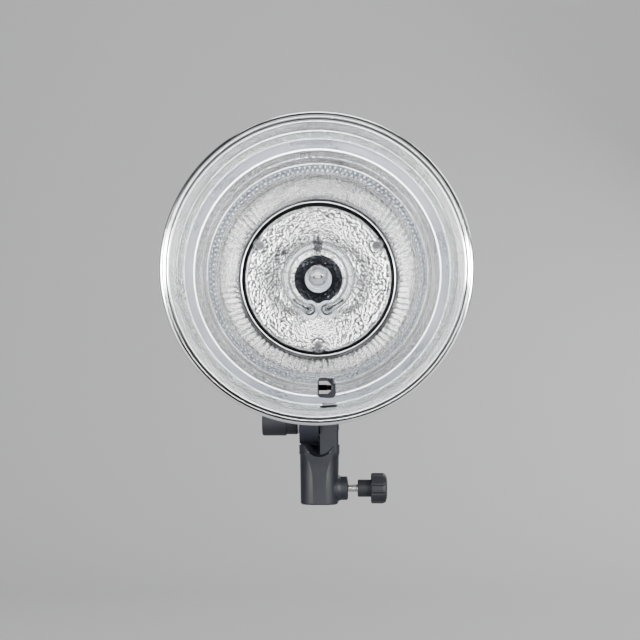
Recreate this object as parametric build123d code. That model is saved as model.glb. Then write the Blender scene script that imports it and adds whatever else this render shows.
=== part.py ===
"""Monolight strobe: a studio flash head with a seven inch reflector, on a tilting stand bracket.

Millimetres. The origin is the centre of the stand socket's mouth. +Z is up, the light leaves towards -Y,
and +X is to the right for someone who faces the reflector.
"""

import os
from math import cos, radians, sin

from build123d import *

# ---------------------------------------------------------------- driving dimensions
AXIS_Z = 150.0  # height of the optical axis over the socket's mouth
PIVOT_Z = 57.0  # height of the tilt pivot
RIM_Y = -200.0  # front of the reflector
MOUNT_Y = -90.0  # front face of the bayonet ring
CASING_FRONT_Y = -70.0
CASING_REAR_Y = 150.0
REAR_Y = 170.0  # rear edge of the rear frame
PANEL_Y = 163.0  # outer face of the control panel

CASING_R = 61.0
CASING_WALL = 2.5
CASING_FLAT_Z = AXIS_Z - 58.0  # flat along the casing's underside, where the tilt arm is fixed
PARTING_GAP = 0.3

SPIGOT_BORE_R = 8.1  # for a 16 mm stand spigot
SPIGOT_BORE_DEPTH = 32.0
SHAFT_R = 4.0  # an 8 mm umbrella shaft
UMBRELLA_X, UMBRELLA_Z = 4.5, AXIS_Z - 70.0  # where that shaft lies
OPENING_X, OPENING_Z = 5.6, AXIS_Z - 69.2  # middle of the reflector's opening for it

BOWL_NECK_R, BOWL_NECK_Y = 51.0, -93.7
BOWL_LINE = [(51.0, -93.7), (55.4, -112.0), (61.3, -133.0), (67.3, -144.5), (73.9, -158.0), (79.0, -169.0),
             (82.6, -180.0), (85.6, -194.0), (87.9, -198.0)]  # inner radius and depth, neck to mouth
BOWL_WALL = 1.0
BEAD_R, BEAD_WIRE_R = 89.1, 1.6  # rolled rim

TWIST = 35.0  # bayonet twist between locked and free, degrees
LUG_ANGLES = (90.0, 210.0, 330.0)
LATCH_ANGLE, LATCH_R = 45.0, 59.5
PLATE_SCREW_ANGLES, PLATE_SCREW_R = (30.0, 150.0, 270.0), 42.8

RING_Y, RING_R, GLASS_R = -104.0, 20.5, 3.0  # the flash tube's ring
LEG_ANGLE = 16.0  # each leg of the tube, either side of straight down

CLAMP_Z = 10.8  # axis of the stand clamp screw
RUN = 0.06  # radial running clearance
GAP = 0.3  # clearance between parts that move past each other

FRONT_AXIS = Axis((0, 0, AXIS_Z), (0, -1, 0))  # positive angles run anticlockwise seen from the front
ALONG_X, ALONG_Y, ALONG_Z = (1, 0, 0), (0, 1, 0), (0, 0, 1)
OPTICAL = (0, 0, AXIS_Z)
PIVOT = (0, 0, PIVOT_Z)


# ---------------------------------------------------------------- shared shapes
def block(xs, ys, zs):
    """A box between pairs of coordinates."""
    spans = (xs, ys, zs)
    middle = [(low + high) / 2 for low, high in spans]
    return Pos(*middle) * Box(*(high - low for low, high in spans))


def rod(start, end, radius):
    """A cylinder from one point to another."""
    along = Vector(*end) - Vector(*start)
    return extrude(Plane(origin=start, z_dir=along) * Circle(radius), along.length)


def meridian(origin, direction):
    """The half plane through an axis, with radius along its x and distance along the axis along its y."""
    along = Vector(direction)
    side = Vector(0, 0, 1) if abs(along.X) > 0.5 else Vector(1, 0, 0)
    return Plane(origin=origin, x_dir=side, z_dir=side.cross(along))


def turned(outline, origin=OPTICAL, direction=ALONG_Y):
    """A solid of revolution from (radius, distance along the axis) points."""
    face = meridian(origin, direction) * make_face(Polyline(*outline, close=True))
    return revolve(face, Axis(origin, direction), 360)


def ring(inner, outer, start, end, origin=OPTICAL, direction=ALONG_Y):
    """A plain ring about an axis, or a disc where inner is 0."""
    return turned([(inner, start), (outer, start), (outer, end), (inner, end)], origin, direction)


def sector(inner, outer, low_y, high_y, start, sweep):
    """Part of a ring about the optical axis, by front view angles."""
    outline = [(inner, low_y), (outer, low_y), (outer, high_y), (inner, high_y)]
    face = meridian(OPTICAL, ALONG_Y) * make_face(Polyline(*outline, close=True))
    return revolve(face, FRONT_AXIS, sweep).rotate(FRONT_AXIS, start)


def around(shape, angles):
    """Copies of a shape turned about the optical axis."""
    return [shape.rotate(FRONT_AXIS, angle) for angle in angles]


def polar(radius, angle):
    """(x, z) of a front view polar position about the optical axis."""
    return radius * cos(radians(angle)), AXIS_Z + radius * sin(radians(angle))


def hex_x(across_flats, start, end, y=0.0, z=0.0):
    """A hexagonal prism along X."""
    plane = Plane(origin=(start, y, z), x_dir=(0, 1, 0), z_dir=(1, 0, 0))
    return extrude(plane * RegularPolygon(across_flats / 2, 6, major_radius=False), end - start)


def fluted(shape, count, flute_r, centre_r, start, end, origin, direction):
    """A knob with finger flutes cut around its edge."""
    axis = Axis(origin, direction)
    side = meridian(origin, direction).x_dir
    foot = Vector(origin) + Vector(direction) * start + side * centre_r
    head = foot + Vector(direction) * (end - start)
    flute = rod(tuple(foot), tuple(head), flute_r)
    for n in range(count):
        shape -= flute.rotate(axis, 360 / count * n)
    return shape


def group(shapes):
    """Separate solids that share a node."""
    return Compound(children=[solid for shape in shapes for solid in shape.solids()])


# ---------------------------------------------------------------- stand bracket
SOCKET_TOP_Z = 40.6
COLLAR_Z = 35.0  # foot of the wider band round the socket's top
EAR_IN, EAR_OUT = 0.5, 13.7  # each ear's inner and outer face, either side of the middle
STAND_EAR_R, ARM_EAR_R = 11.0, 15.5
BOSS_R, BOSS_END = 8.1, 19.7
CLAMP_SCREW_R = 2.5  # M5
NUT_AF, NUT_DEPTH = 13.0, 6.5
TILT_BOLT_R = 4.0


def spine(front):
    """The raised spine on the socket's front or back, which flares towards the seat."""
    side = -1 if front else 1
    half = [(3.95, 0.6), (4.3, 10.0), (5.0, 21.0), (6.6, 28.0), (10.6, 35.5)]
    edges = [Spline(*half), Spline(*[(-x, z) for x, z in half])]
    edges += [Line((-x, z), (x, z)) for x, z in (half[0], half[-1])]
    plane = Plane(origin=(0, side * 10.0, 0), x_dir=(side * -1, 0, 0), z_dir=(0, side, 0))
    return extrude(plane * make_face(edges), 4.3)


def socket_body():
    """The rounded column of the socket, with a wider band at its top and a seat for the moving ear."""
    foot = Plane.XY * RectangleRounded(25.7, 26.0, 11.5)
    waist = Plane.XY.offset(COLLAR_Z) * RectangleRounded(26.8, 26.8, 12.0)
    band = Plane.XY.offset(COLLAR_Z - 1) * RectangleRounded(27.8, 28.6, 12.5)
    body = loft([foot, waist])
    body = chamfer(body.faces().sort_by(Axis.Z)[0].edges(), 0.8)
    body += spine(True) + spine(False)
    body += chamfer(extrude(band, SOCKET_TOP_Z + 1 - COLLAR_Z).edges().group_by(Axis.Z)[0], 0.5)
    scoop = rod((0, 6, 53.5), (0, -22, 41.5), 11.0)
    rear_lip = block((-13.0, 0), (6, 11.5), (SOCKET_TOP_Z - 2, 42.6))
    return body - scoop + rear_lip


def stand_socket():
    """The lower casting: a blind socket for the spigot, a boss for its clamp screw and the fixed ear."""
    ear = rod((EAR_IN, 0, PIVOT_Z), (EAR_OUT - 0.6, 0, PIVOT_Z), STAND_EAR_R)
    ear += block((EAR_IN, EAR_OUT - 0.6), (-STAND_EAR_R, STAND_EAR_R), (COLLAR_Z - 2, PIVOT_Z))
    ear = chamfer(ear.faces().sort_by(Axis.X)[-1].edges().sort_by(Axis.Z)[1:], 1.2)
    tongue = block((-EAR_IN + 0.05, EAR_IN + 1), (4, 10.5), (SOCKET_TOP_Z - 1, 47.0))
    boss = turned(
        [(0, 5), (BOSS_R + 1.2, 5), (BOSS_R + 1.2, 12.4), (BOSS_R, 15), (BOSS_R, BOSS_END - 0.8),
         (BOSS_R - 0.8, BOSS_END), (0, BOSS_END)],
        (0, 0, CLAMP_Z), ALONG_X,
    )
    boss &= block((0, 30), (-20, 20), (1.2, 40))
    shape = socket_body() - rod((EAR_IN - 20, 0, PIVOT_Z), (EAR_IN, 0, PIVOT_Z), ARM_EAR_R + GAP)
    shape += ear + boss + tongue
    shape -= rod((0, 0, -1), (0, 0, SPIGOT_BORE_DEPTH), SPIGOT_BORE_R)
    shape -= rod((0, 0, CLAMP_Z), (30, 0, CLAMP_Z), CLAMP_SCREW_R + GAP)
    shape -= rod((10, 0, CLAMP_Z), (30, 0, CLAMP_Z), 5.0)
    shape -= rod((-1, 0, PIVOT_Z), (20, 0, PIVOT_Z), TILT_BOLT_R + GAP)
    shape -= hex_x(NUT_AF + 0.1, EAR_OUT - NUT_DEPTH, EAR_OUT + 1, 0, PIVOT_Z)
    return shape


def clamp_insert():
    """The threaded bush that the stand clamp screw runs in."""
    return ring(CLAMP_SCREW_R + RUN, 4.97, 10.0, BOSS_END - 0.4, (0, 0, CLAMP_Z), ALONG_X)


def tilt_nut():
    """The hexagonal nut held in the fixed ear."""
    nut = hex_x(NUT_AF, EAR_OUT - NUT_DEPTH + 0.02, EAR_OUT, 0, PIVOT_Z)
    nut &= turned([(0, 0), (7.6, 0), (7.6, EAR_OUT - 1), (6.6, EAR_OUT), (0, EAR_OUT)], PIVOT, ALONG_X)
    return nut - rod((0, 0, PIVOT_Z), (20, 0, PIVOT_Z), TILT_BOLT_R + RUN)


def friction_washer():
    """The disc that grips between the two ears."""
    return ring(TILT_BOLT_R + GAP, 9.6, -EAR_IN + 0.05, EAR_IN, PIVOT, ALONG_X)


# ---------------------------------------------------------------- stand clamp screw
PAD_TIP_X = SPIGOT_BORE_R + 0.2
CLAMP_SCREW_START = 11.0
KNOB_NECK_X, KNOB_HEAD_X, KNOB_END_X = 26.3, 35.5, 46.4


def stand_clamp_pad():
    """The brass shoe on the screw's tip, which presses on the spigot without turning."""
    outline = [(0, PAD_TIP_X), (2.0, PAD_TIP_X), (2.4, PAD_TIP_X + 0.4), (2.4, CLAMP_SCREW_START - 0.1),
               (1.2, CLAMP_SCREW_START - 0.1), (1.2, 13.6), (0, 13.6)]
    return turned(outline, (0, 0, CLAMP_Z), ALONG_X)


def stand_clamp_screw():
    """The M5 stud that is moulded into the knob."""
    outline = [(1.2 + RUN, CLAMP_SCREW_START), (CLAMP_SCREW_R, CLAMP_SCREW_START), (CLAMP_SCREW_R, 41.0),
               (0, 41.0), (0, 14.0), (1.2 + RUN, 14.0)]
    return turned(outline, (0, 0, CLAMP_Z), ALONG_X)


def stand_clamp_knob():
    """The moulded hand knob: a neck and a fluted, slightly crowned head."""
    head = [(0, KNOB_NECK_X), (5.5, KNOB_NECK_X), (5.95, KNOB_NECK_X + 0.5), (5.95, KNOB_HEAD_X),
            (9.8, KNOB_HEAD_X), (10.5, KNOB_HEAD_X + 0.7), (10.5, KNOB_END_X - 3.0), (9.6, KNOB_END_X - 0.9),
            (7.0, KNOB_END_X), (0, KNOB_END_X)]
    origin = (0, 0, CLAMP_Z)
    knob = turned(head, origin, ALONG_X)
    knob = fluted(knob, 10, 1.5, 11.3, KNOB_HEAD_X - 1, KNOB_END_X + 1, origin, ALONG_X)
    return knob - rod((KNOB_NECK_X - 1, 0, CLAMP_Z), (41.05, 0, CLAMP_Z), CLAMP_SCREW_R + 0.02)


# ---------------------------------------------------------------- tilt screw and lever
DRIVE_AF = 11.0
LEVER_IN, LEVER_OUT = -14.85, -39.3
LEVER_NECK_R, LEVER_HUB_R, LEVER_REACH = 9.2, 10.1, 30.5
LEVER_WEB = (-28.5, -27.0)  # wall inside the hub that the spring pushes on
LEVER_ANGLE = 25.0  # the arm's slope over the horizontal, towards the rear


def tilt_screw():
    """The bolt through both ears, with a thrust collar, a short hexagonal drive and a tail for the lever."""
    shank = turned([(0, 13.2), (3.4, 13.2), (TILT_BOLT_R, 12.6), (TILT_BOLT_R, -13.75), (8.9, -13.75),
                    (8.9, -14.75), (0, -14.75)], PIVOT, ALONG_X)
    drive = hex_x(DRIVE_AF, -18.2, -14.75, 0, PIVOT_Z)
    tail = rod((-18.2, 0, PIVOT_Z), (-26.0, 0, PIVOT_Z), 4.0)
    return shank + drive + tail - rod((-20, 0, PIVOT_Z), (-27, 0, PIVOT_Z), 2.0)


def lever_retaining_screw():
    """The small screw that keeps the lever and its spring on the bolt."""
    outline = [(0, -20.5), (1.98, -20.5), (1.98, -36.0), (4.2, -36.0), (4.2, -37.4), (3.2, -38.4),
               (1.2, -38.4),
               (1.2, -37.0), (0, -37.0)]
    return turned(outline, PIVOT, ALONG_X)


def lever_spring():
    """The coil spring that pushes the lever back onto its drive."""
    turns, wire_r, coil_r = 5, 0.35, 3.4
    start, end = LEVER_WEB[0] - wire_r - 0.05, -36.0 + wire_r + 0.05
    helix = Helix((start - end) / turns, start - end, coil_r)
    path = Plane(origin=(end, 0, PIVOT_Z), z_dir=(1, 0, 0)) * helix
    section = Plane(origin=path @ 0, z_dir=path % 0) * Circle(wire_r)
    return sweep(section, path, is_frenet=True)


def tilt_lever():
    """The clamping lever: a hollow hub with a short tapered arm."""
    hub = turned([(0, LEVER_IN), (LEVER_NECK_R - 0.6, LEVER_IN), (LEVER_NECK_R, LEVER_IN - 0.6),
                  (LEVER_NECK_R, -22.4), (LEVER_HUB_R, -23.0), (LEVER_HUB_R, LEVER_OUT + 0.9),
                  (LEVER_HUB_R - 0.9, LEVER_OUT), (0, LEVER_OUT)], PIVOT, ALONG_X)
    plane = Plane(origin=(-27.5, 0, PIVOT_Z), x_dir=(0, 1, 0), z_dir=(-1, 0, 0))
    outline = make_hull(
        (Circle(9.0).edges() + (Pos(LEVER_REACH, 0) * Circle(5.0)).edges())
    )
    arm = extrude(plane * Rot(0, 0, -LEVER_ANGLE) * outline, 10.5)
    arm = fillet(arm.edges().filter_by(GeomType.CIRCLE).group_by(Axis.Y)[-1], 1.6)
    lever = hub + arm
    lever -= hex_x(DRIVE_AF + 0.3, -18.4, LEVER_IN + 1, 0, PIVOT_Z)
    lever -= rod((-18.3, 0, PIVOT_Z), (LEVER_WEB[1], 0, PIVOT_Z), 6.7)
    lever -= rod((-20, 0, PIVOT_Z), (-40, 0, PIVOT_Z), 2.4)
    return lever - rod((LEVER_WEB[0], 0, PIVOT_Z), (-45, 0, PIVOT_Z), 5.0)


# ---------------------------------------------------------------- tilt arm and umbrella holder
ARM_PLATE_Z = 87.0
ARM_SCREWS = [(x, y) for x in (-13.0, 13.0) for y in (-34.0, 34.0)]
HOLDER_HALF = 26.0  # half the length of the umbrella channel
CHANNEL_FLOOR_H = 1.5  # half the height of the channel's flat floor
CHANNEL_H = SHAFT_R + 0.6
CHANNEL_FLOOR_X = UMBRELLA_X + SHAFT_R * 2**0.5 - CHANNEL_FLOOR_H  # the shaft touches both 45 degree sides
THUMB_R = 2.0  # M4
THUMB_WHEEL = (-15.2, -19.2)


def umbrella_channel():
    """Cutter for the umbrella's channel, whose sides close to a V away from the thumb screw."""
    shoulder = CHANNEL_FLOOR_X - (CHANNEL_H - CHANNEL_FLOOR_H)
    outline = [(-EAR_IN, -CHANNEL_H), (shoulder, -CHANNEL_H), (CHANNEL_FLOOR_X, -CHANNEL_FLOOR_H),
               (CHANNEL_FLOOR_X, CHANNEL_FLOOR_H), (shoulder, CHANNEL_H), (-EAR_IN, CHANNEL_H)]
    plane = Plane(origin=(0, HOLDER_HALF + 1, UMBRELLA_Z), x_dir=(1, 0, 0), z_dir=(0, -1, 0))
    return extrude(plane * make_face(Polyline(*outline, close=True)), 2 * HOLDER_HALF + 2)


def tilt_arm():
    """The upper casting: a plate under the casing, the moving ear and the umbrella holder."""
    plate = block((-18, 18), (-40, 40), (ARM_PLATE_Z, CASING_FLAT_Z - 0.02))
    plate = fillet(plate.edges().filter_by(Axis.Z), 6)
    ear_plane = Plane(origin=(-EAR_OUT, 0, PIVOT_Z), x_dir=(0, 1, 0), z_dir=(1, 0, 0))
    root = Pos(0, ARM_PLATE_Z - PIVOT_Z + 0.5) * Rectangle(46, 1.0)
    ear = extrude(ear_plane * make_hull(Circle(ARM_EAR_R).edges() + root.edges()), EAR_OUT - EAR_IN)
    holder_z = UMBRELLA_Z - CHANNEL_H - 2.2
    holder = block((-EAR_IN - 1, 13.0), (-HOLDER_HALF, HOLDER_HALF), (holder_z, ARM_PLATE_Z + 1))
    holder = fillet(holder.edges().filter_by(Axis.Y).group_by(Axis.Z)[0].sort_by(Axis.X)[-1], 3.0)
    shape = plate + ear + holder - umbrella_channel()
    shape -= rod((-20, 0, UMBRELLA_Z), (0, 0, UMBRELLA_Z), THUMB_R + RUN)
    shape -= rod((-20, 0, PIVOT_Z), (20, 0, PIVOT_Z), TILT_BOLT_R + GAP)
    for x, y in ARM_SCREWS:
        shape -= rod((x, y, ARM_PLATE_Z - 1), (x, y, CASING_FLAT_Z + 1), 2.05)
    return shape


def umbrella_screw_tip():
    """The nylon tip that presses on the umbrella's shaft."""
    end = CHANNEL_FLOOR_X - 0.15
    outline = [(0, end), (1.5, end), (1.8, end - 0.3), (1.8, 5.6), (0.8, 5.6), (0.8, 3.9), (0, 3.9)]
    return turned(outline, (0, 0, UMBRELLA_Z), ALONG_X)


def umbrella_screw():
    """The knurled thumb screw of the umbrella holder."""
    inner, outer = THUMB_WHEEL
    outline = [(0.86, 5.5), (THUMB_R, 5.5), (THUMB_R, inner), (6.4, inner), (7.0, inner - 0.6),
               (7.0, outer + 0.6),
               (6.4, outer), (0, outer), (0, 3.6), (0.86, 3.6)]
    origin = (0, 0, UMBRELLA_Z)
    return fluted(turned(outline, origin, ALONG_X), 16, 0.7, 7.3, outer - 1, inner + 0.5, origin, ALONG_X)


# ---------------------------------------------------------------- casing
VENT_PITCH, VENT_COUNT, VENT_WIDTH = 7.0, 9, 3.0
VENT_START_Y = 62.0
SIDE_SCREW_YS, SIDE_SCREW_Z = (-56.0, 38.0, 137.0), AXIS_Z - 9.0
SIDE_SEAT_X = 59.8  # flats cut in the wall for the heads


def casing_tube():
    """The whole casing wall before it is parted: a tube with a flat underside."""
    length = CASING_REAR_Y - CASING_FRONT_Y
    middle_y = (CASING_REAR_Y + CASING_FRONT_Y) / 2
    keep = block((-70, 70), (-80, 160), (CASING_FLAT_Z, 230))
    outer = rod((0, CASING_FRONT_Y, AXIS_Z), (0, CASING_REAR_Y, AXIS_Z), CASING_R) & keep
    hollow = rod((0, CASING_FRONT_Y, AXIS_Z), (0, CASING_REAR_Y, AXIS_Z), CASING_R - CASING_WALL)
    hollow &= block((-70, 70), (-80, 160), (CASING_FLAT_Z + CASING_WALL, 230))
    groove = Pos(0, middle_y, AXIS_Z) * Box(2 * CASING_R + 1, length - 24, 4.0)
    core = rod((0, CASING_FRONT_Y, AXIS_Z), (0, CASING_REAR_Y, AXIS_Z), CASING_R - 0.8)
    return outer - hollow - (groove - core)


def vents(low, high):
    """Cutters for the side vents between two heights over the axis."""
    cutters = []
    for n in range(VENT_COUNT):
        y = VENT_START_Y + VENT_PITCH * n
        slot = Plane.YZ * Pos(y, AXIS_Z + (low + high) / 2) * SlotOverall(high - low, VENT_WIDTH, rotation=90)
        cutters.append(extrude(slot, 80, both=True))
    return cutters


def housing_upper():
    """The upper half shell."""
    shape = casing_tube() & block((-70, 70), (-80, 160), (AXIS_Z + PARTING_GAP / 2, 230))
    for cutter in vents(12.0, 40.0):
        shape -= cutter
    return shape


def housing_lower():
    """The lower half shell, with the flat for the tilt arm."""
    shape = casing_tube() & block((-70, 70), (-80, 160), (80, AXIS_Z - PARTING_GAP / 2))
    for cutter in vents(-40.0, -16.0):
        shape -= cutter
    for y in SIDE_SCREW_YS:
        shape -= rod((-80, y, SIDE_SCREW_Z), (80, y, SIDE_SCREW_Z), 2.05)
        shape -= rod((-80, y, SIDE_SCREW_Z), (-SIDE_SEAT_X, y, SIDE_SCREW_Z), 3.7)
        shape -= rod((SIDE_SEAT_X, y, SIDE_SCREW_Z), (80, y, SIDE_SCREW_Z), 3.7)
    for x, y in ARM_SCREWS:
        shape -= rod((x, y, 80), (x, y, 100), 2.05)
    return shape


def casing_screws():
    """Screws of the casing's sides and of the tilt arm's plate."""
    screws = []
    side = [(0, 0.9), (1.1, 0.9), (1.1, 2.0), (2.4, 2.0), (3.3, 1.0), (3.3, 0.02), (2.0, 0.02),
            (2.0, -8.0), (0, -8.0)]
    for y in SIDE_SCREW_YS:
        screws.append(turned(side, (SIDE_SEAT_X, y, SIDE_SCREW_Z), (1, 0, 0)))
        screws.append(turned(side, (-SIDE_SEAT_X, y, SIDE_SCREW_Z), (-1, 0, 0)))
    arm = [(0, -3.0), (1.6, -3.0), (1.6, -4.2), (3.4, -4.2), (3.8, -3.6), (3.8, -0.02), (2.0, -0.02),
           (2.0, 11.0),
           (0, 11.0)]
    for x, y in ARM_SCREWS:
        screws.append(turned(arm, (x, y, ARM_PLATE_Z), ALONG_Z))
    return group(screws)


def rear_frame():
    """The ring that closes the casing and shields the control panel."""
    shape = turned([(58.4, 150.0), (61.0, 150.0), (63.0, 153.0), (63.0, 168.0), (61.4, REAR_Y),
                    (59.8, REAR_Y),
                   (59.0, 169.2), (59.0, 160.0), (55.0, 160.0), (55.0, 157.6), (58.4, 157.6)])
    for angle in PANEL_SCREW_ANGLES:
        x, z = polar(PANEL_SCREW_R, angle)
        shape += rod((x, 153, z), (x, 160, z), 3.4)
        shape -= rod((x, 152, z), (x, 161, z), 1.55)
    return shape


# ---------------------------------------------------------------- handle
def handle_profile(outer):
    """Outer or inner outline of the handle's arch, as a sketch in Y and Z."""
    if outer:
        points = [(-38, 195), (-27, 247), (97, 247), (108, 195)]
        return make_face(FilletPolyline(*points, radius=14, close=True))
    points = [(-19, 190), (-10, 233), (80, 233), (89, 190)]
    return make_face(FilletPolyline(*points, radius=9, close=True))


def carry_handle():
    """The arched handle on top of the casing."""
    arch = Plane.YZ * (handle_profile(True) - handle_profile(False))
    shape = extrude(arch, 10, both=True)
    shape = fillet(shape.faces().filter_by(Axis.X).edges(), 3.2)
    shape &= block((-20, 20), (-60, 130), (203, 260))
    return shape - rod((0, -80, AXIS_Z), (0, 160, AXIS_Z), CASING_R + 0.03)


def handle_grip(handle):
    """The rubber sleeve on the handle's bar."""
    sleeve = block((-11.8, 11.8), (-3, 73), (231.2, 248.8))
    sleeve = fillet(sleeve.edges().filter_by(Axis.Y), 4.6)
    sleeve = fillet(sleeve.faces().filter_by(Axis.Y).edges(), 0.7)
    for y in range(3, 70, 8):
        groove = block((-14, 14), (y, y + 1.6), (225, 255))
        sleeve -= groove - block((-11.1, 11.1), (y - 1, y + 3), (231.9, 248.1))
    return sleeve - handle


# ---------------------------------------------------------------- front: bezel, bayonet ring and latch
def latch_slot():
    """The radial channel in the bezel that the latch slides in, built at front view angle 0."""
    return block((58.5, 70), (-84.6, -75.4), (AXIS_Z - 3.3, AXIS_Z + 3.3))


def ring_screw_places():
    """(x, z) of the six countersunk screws of the bayonet ring."""
    return [polar(59.0, angle) for angle in (35, 85, 155, 205, 275, 325)]


def front_bezel():
    """The front ring of the casing, which carries the bayonet."""
    shape = turned([(61.0, -70.0), (65.0, -77.0), (65.0, -86.2), (63.2, -88.0), (62.2, -88.0), (62.2, -85.0),
                    (57.5, -85.0), (57.5, -80.0), (53.0, -80.0), (53.0, -78.0), (58.4, -78.0), (58.4, -70.0)])
    pin_hole = block((58.0, 61.0), (-86, -84), (AXIS_Z - 1.5, AXIS_Z + 1.5))
    shape -= (latch_slot() + pin_hole).rotate(FRONT_AXIS, LATCH_ANGLE)
    for x, z in ring_screw_places():
        shape -= rod((x, -86, z), (x, -77, z), 1.55)
    return shape


def mount_ring():
    """The metal bayonet ring, with an entry slot for each lug of a reflector."""
    shape = turned([(53.0, -85.05), (53.0, -89.6), (53.4, MOUNT_Y), (61.6, MOUNT_Y), (62.0, -89.6),
                    (62.0, -85.05)])
    for angle in LUG_ANGLES:
        shape -= sector(50.0, 56.8, -92.0, -84.0, angle + TWIST - 17.0, 34.0)
    x, z = polar(LATCH_R, LATCH_ANGLE)
    shape -= rod((x, -92, z), (x, -84, z), 1.3)
    for x, z in ring_screw_places():
        shape -= turned([(0, 0), (2.9, 0), (1.55, 1.5), (1.55, 8), (0, 8)], (x, MOUNT_Y - 0.05, z), ALONG_Y)
    return shape


def front_screws():
    """The bayonet ring's countersunk screws, and the three screws of the hammered plate."""
    sunk = [(0, 0.25), (0.8, 0.25), (0.8, 0.05), (2.75, 0.05), (1.45, 1.5), (1.45, 10), (0, 10)]
    pan = [(0, 0.9), (0.9, 0.9), (0.9, 0.0), (2.2, 0.0), (2.9, 0.7), (2.9, 2.2), (4.6, 2.2), (4.6, 3.0),
           (1.5, 3.0), (1.5, 15.5), (0, 15.5)]
    screws = [turned(sunk, (x, MOUNT_Y, z), ALONG_Y) for x, z in ring_screw_places()]
    for angle in PLATE_SCREW_ANGLES:
        x, z = polar(PLATE_SCREW_R, angle)
        screws.append(turned(pan, (x, PLATE_RIM_Y - 3.02, z), ALONG_Y))
    return group(screws)


def mount_latch():
    """The sliding latch: a thumb tab, a link through the bezel and the pin for the collar's slot."""
    pin = rod((LATCH_R, -92.3, AXIS_Z), (LATCH_R, -82.0, AXIS_Z), 0.9)
    link = block((58.9, 67.2), (-84.2, -80.4), (AXIS_Z - 3, AXIS_Z + 3))
    tab = block((65.4, 69.0), (-86.0, -75.0), (AXIS_Z - 6.5, AXIS_Z + 6.5))
    tab = fillet(tab.edges().filter_by(Axis.X), 2.0)
    for n in range(4):
        y = -84.6 + n * 2.4
        tab -= block((68.3, 70), (y, y + 1.1), (AXIS_Z - 5, AXIS_Z + 5))
    return (pin + link + tab).rotate(FRONT_AXIS, LATCH_ANGLE)


# ---------------------------------------------------------------- lamp chamber
PLATE_R, PLATE_RIM_Y, PLATE_WELL_Y = 46.4, -88.0, -85.4
WELL_R = 15.5
SOCKET_R = 5.75
HOLDER_R = 8.6
LEG_X, LEG_Z = RING_R * sin(radians(LEG_ANGLE)), AXIS_Z - RING_R * cos(radians(LEG_ANGLE))


def leg_pair(start, end, radius):
    """The same round at both legs of the flash tube, along Y."""
    return [rod((x, start, LEG_Z), (x, end, LEG_Z), radius) for x in (-LEG_X, LEG_X)]


def bridge_opening():
    """Cutter for the bridge between the tube socket's two rounds."""
    return block((-LEG_X, LEG_X), (-95, -75), (LEG_Z - 2.5, LEG_Z + 5.0))


def bulkhead():
    """The black plate behind the reflector chamber."""
    shape = ring(0, 58.2, -77.9, -75.4)
    for hole in leg_pair(-80, -70, SOCKET_R - 0.75 + 0.1):
        shape -= hole
    shape -= rod((0, -80, AXIS_Z), (0, -70, AXIS_Z), HOLDER_R - 1.6 + 0.1)
    for angle in PLATE_SCREW_ANGLES:
        x, z = polar(PLATE_SCREW_R, angle)
        shape -= rod((x, -80, z), (x, -70, z), 1.55)
    return shape


def reflector_plate():
    """The dished, hammered plate round the flash tube."""
    shape = turned([(WELL_R, PLATE_WELL_Y), (45.2, PLATE_RIM_Y), (PLATE_R, PLATE_RIM_Y + 1.0),
                    (PLATE_R, -79.0),
                    (PLATE_R - 1, -79.0), (PLATE_R - 1, PLATE_RIM_Y + 1.4), (WELL_R, PLATE_WELL_Y + 1.0)])
    for hole in leg_pair(-95, -80, SOCKET_R + 0.15):
        shape -= hole
    shape -= bridge_opening()
    for angle in PLATE_SCREW_ANGLES:
        x, z = polar(PLATE_SCREW_R, angle)
        shape -= rod((x, -95, z), (x, -78, z), 1.55)
    x, z = polar(25.8, 90)
    return shape - rod((x, -95, z), (x, -78, z), 1.0)


def lamp_well():
    """The dark dish between the flash tube and the lamp holder."""
    shape = turned([(WELL_R - 0.1, PLATE_WELL_Y), (HOLDER_R + 0.3, -81.6), (HOLDER_R + 0.3, -80.6),
                    (WELL_R - 0.1, PLATE_WELL_Y + 1.0)])
    for hole in leg_pair(-95, -75, SOCKET_R + 0.15):
        shape -= hole
    return shape - bridge_opening()


def tube_socket():
    """The ceramic block that the flash tube's two legs plug into."""
    cheeks = leg_pair(-93.0, -78.0, SOCKET_R) + leg_pair(-78.0, -70.0, SOCKET_R - 0.75)
    bridge = block((-LEG_X, LEG_X), (-90.5, -78.0), (LEG_Z - 2.2, LEG_Z + 2.2))
    shape = cheeks[0] + cheeks[1] + cheeks[2] + cheeks[3] + bridge
    for hole in leg_pair(-94, -82.5, 3.9) + leg_pair(-83, -71.5, 1.2 + 0.1):
        shape -= hole
    return shape


def lamp_holder():
    """The ceramic holder of the modelling lamp."""
    shape = turned([(0, -88.8), (8.0, -88.8), (HOLDER_R, -88.2), (HOLDER_R, -78.0), (HOLDER_R - 1.6, -78.0),
                    (HOLDER_R - 1.6, -70.0), (0, -70.0)])
    for x in (-3.2, 3.2):
        shape -= rod((x, -90, AXIS_Z), (x, -74, AXIS_Z), 0.75)
    return shape


# ---------------------------------------------------------------- flash tube
def flash_tube():
    """The glass ring with its two legs."""
    centre = Plane(origin=(0, RING_Y, AXIS_Z), x_dir=(1, 0, 0), z_dir=(0, -1, 0))
    sweep_angle = 360 - 2 * LEG_ANGLE
    path = centre * CenterArc((0, 0), RING_R, -90 + LEG_ANGLE, sweep_angle)
    glass = sweep(Plane(origin=path @ 0, z_dir=path % 0) * Circle(GLASS_R), path)
    for x in (-LEG_X, LEG_X):
        glass += Pos(x, RING_Y, LEG_Z) * Sphere(GLASS_R)
        glass += rod((x, RING_Y, LEG_Z), (x, -90.5, LEG_Z), GLASS_R)
    return glass


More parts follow.
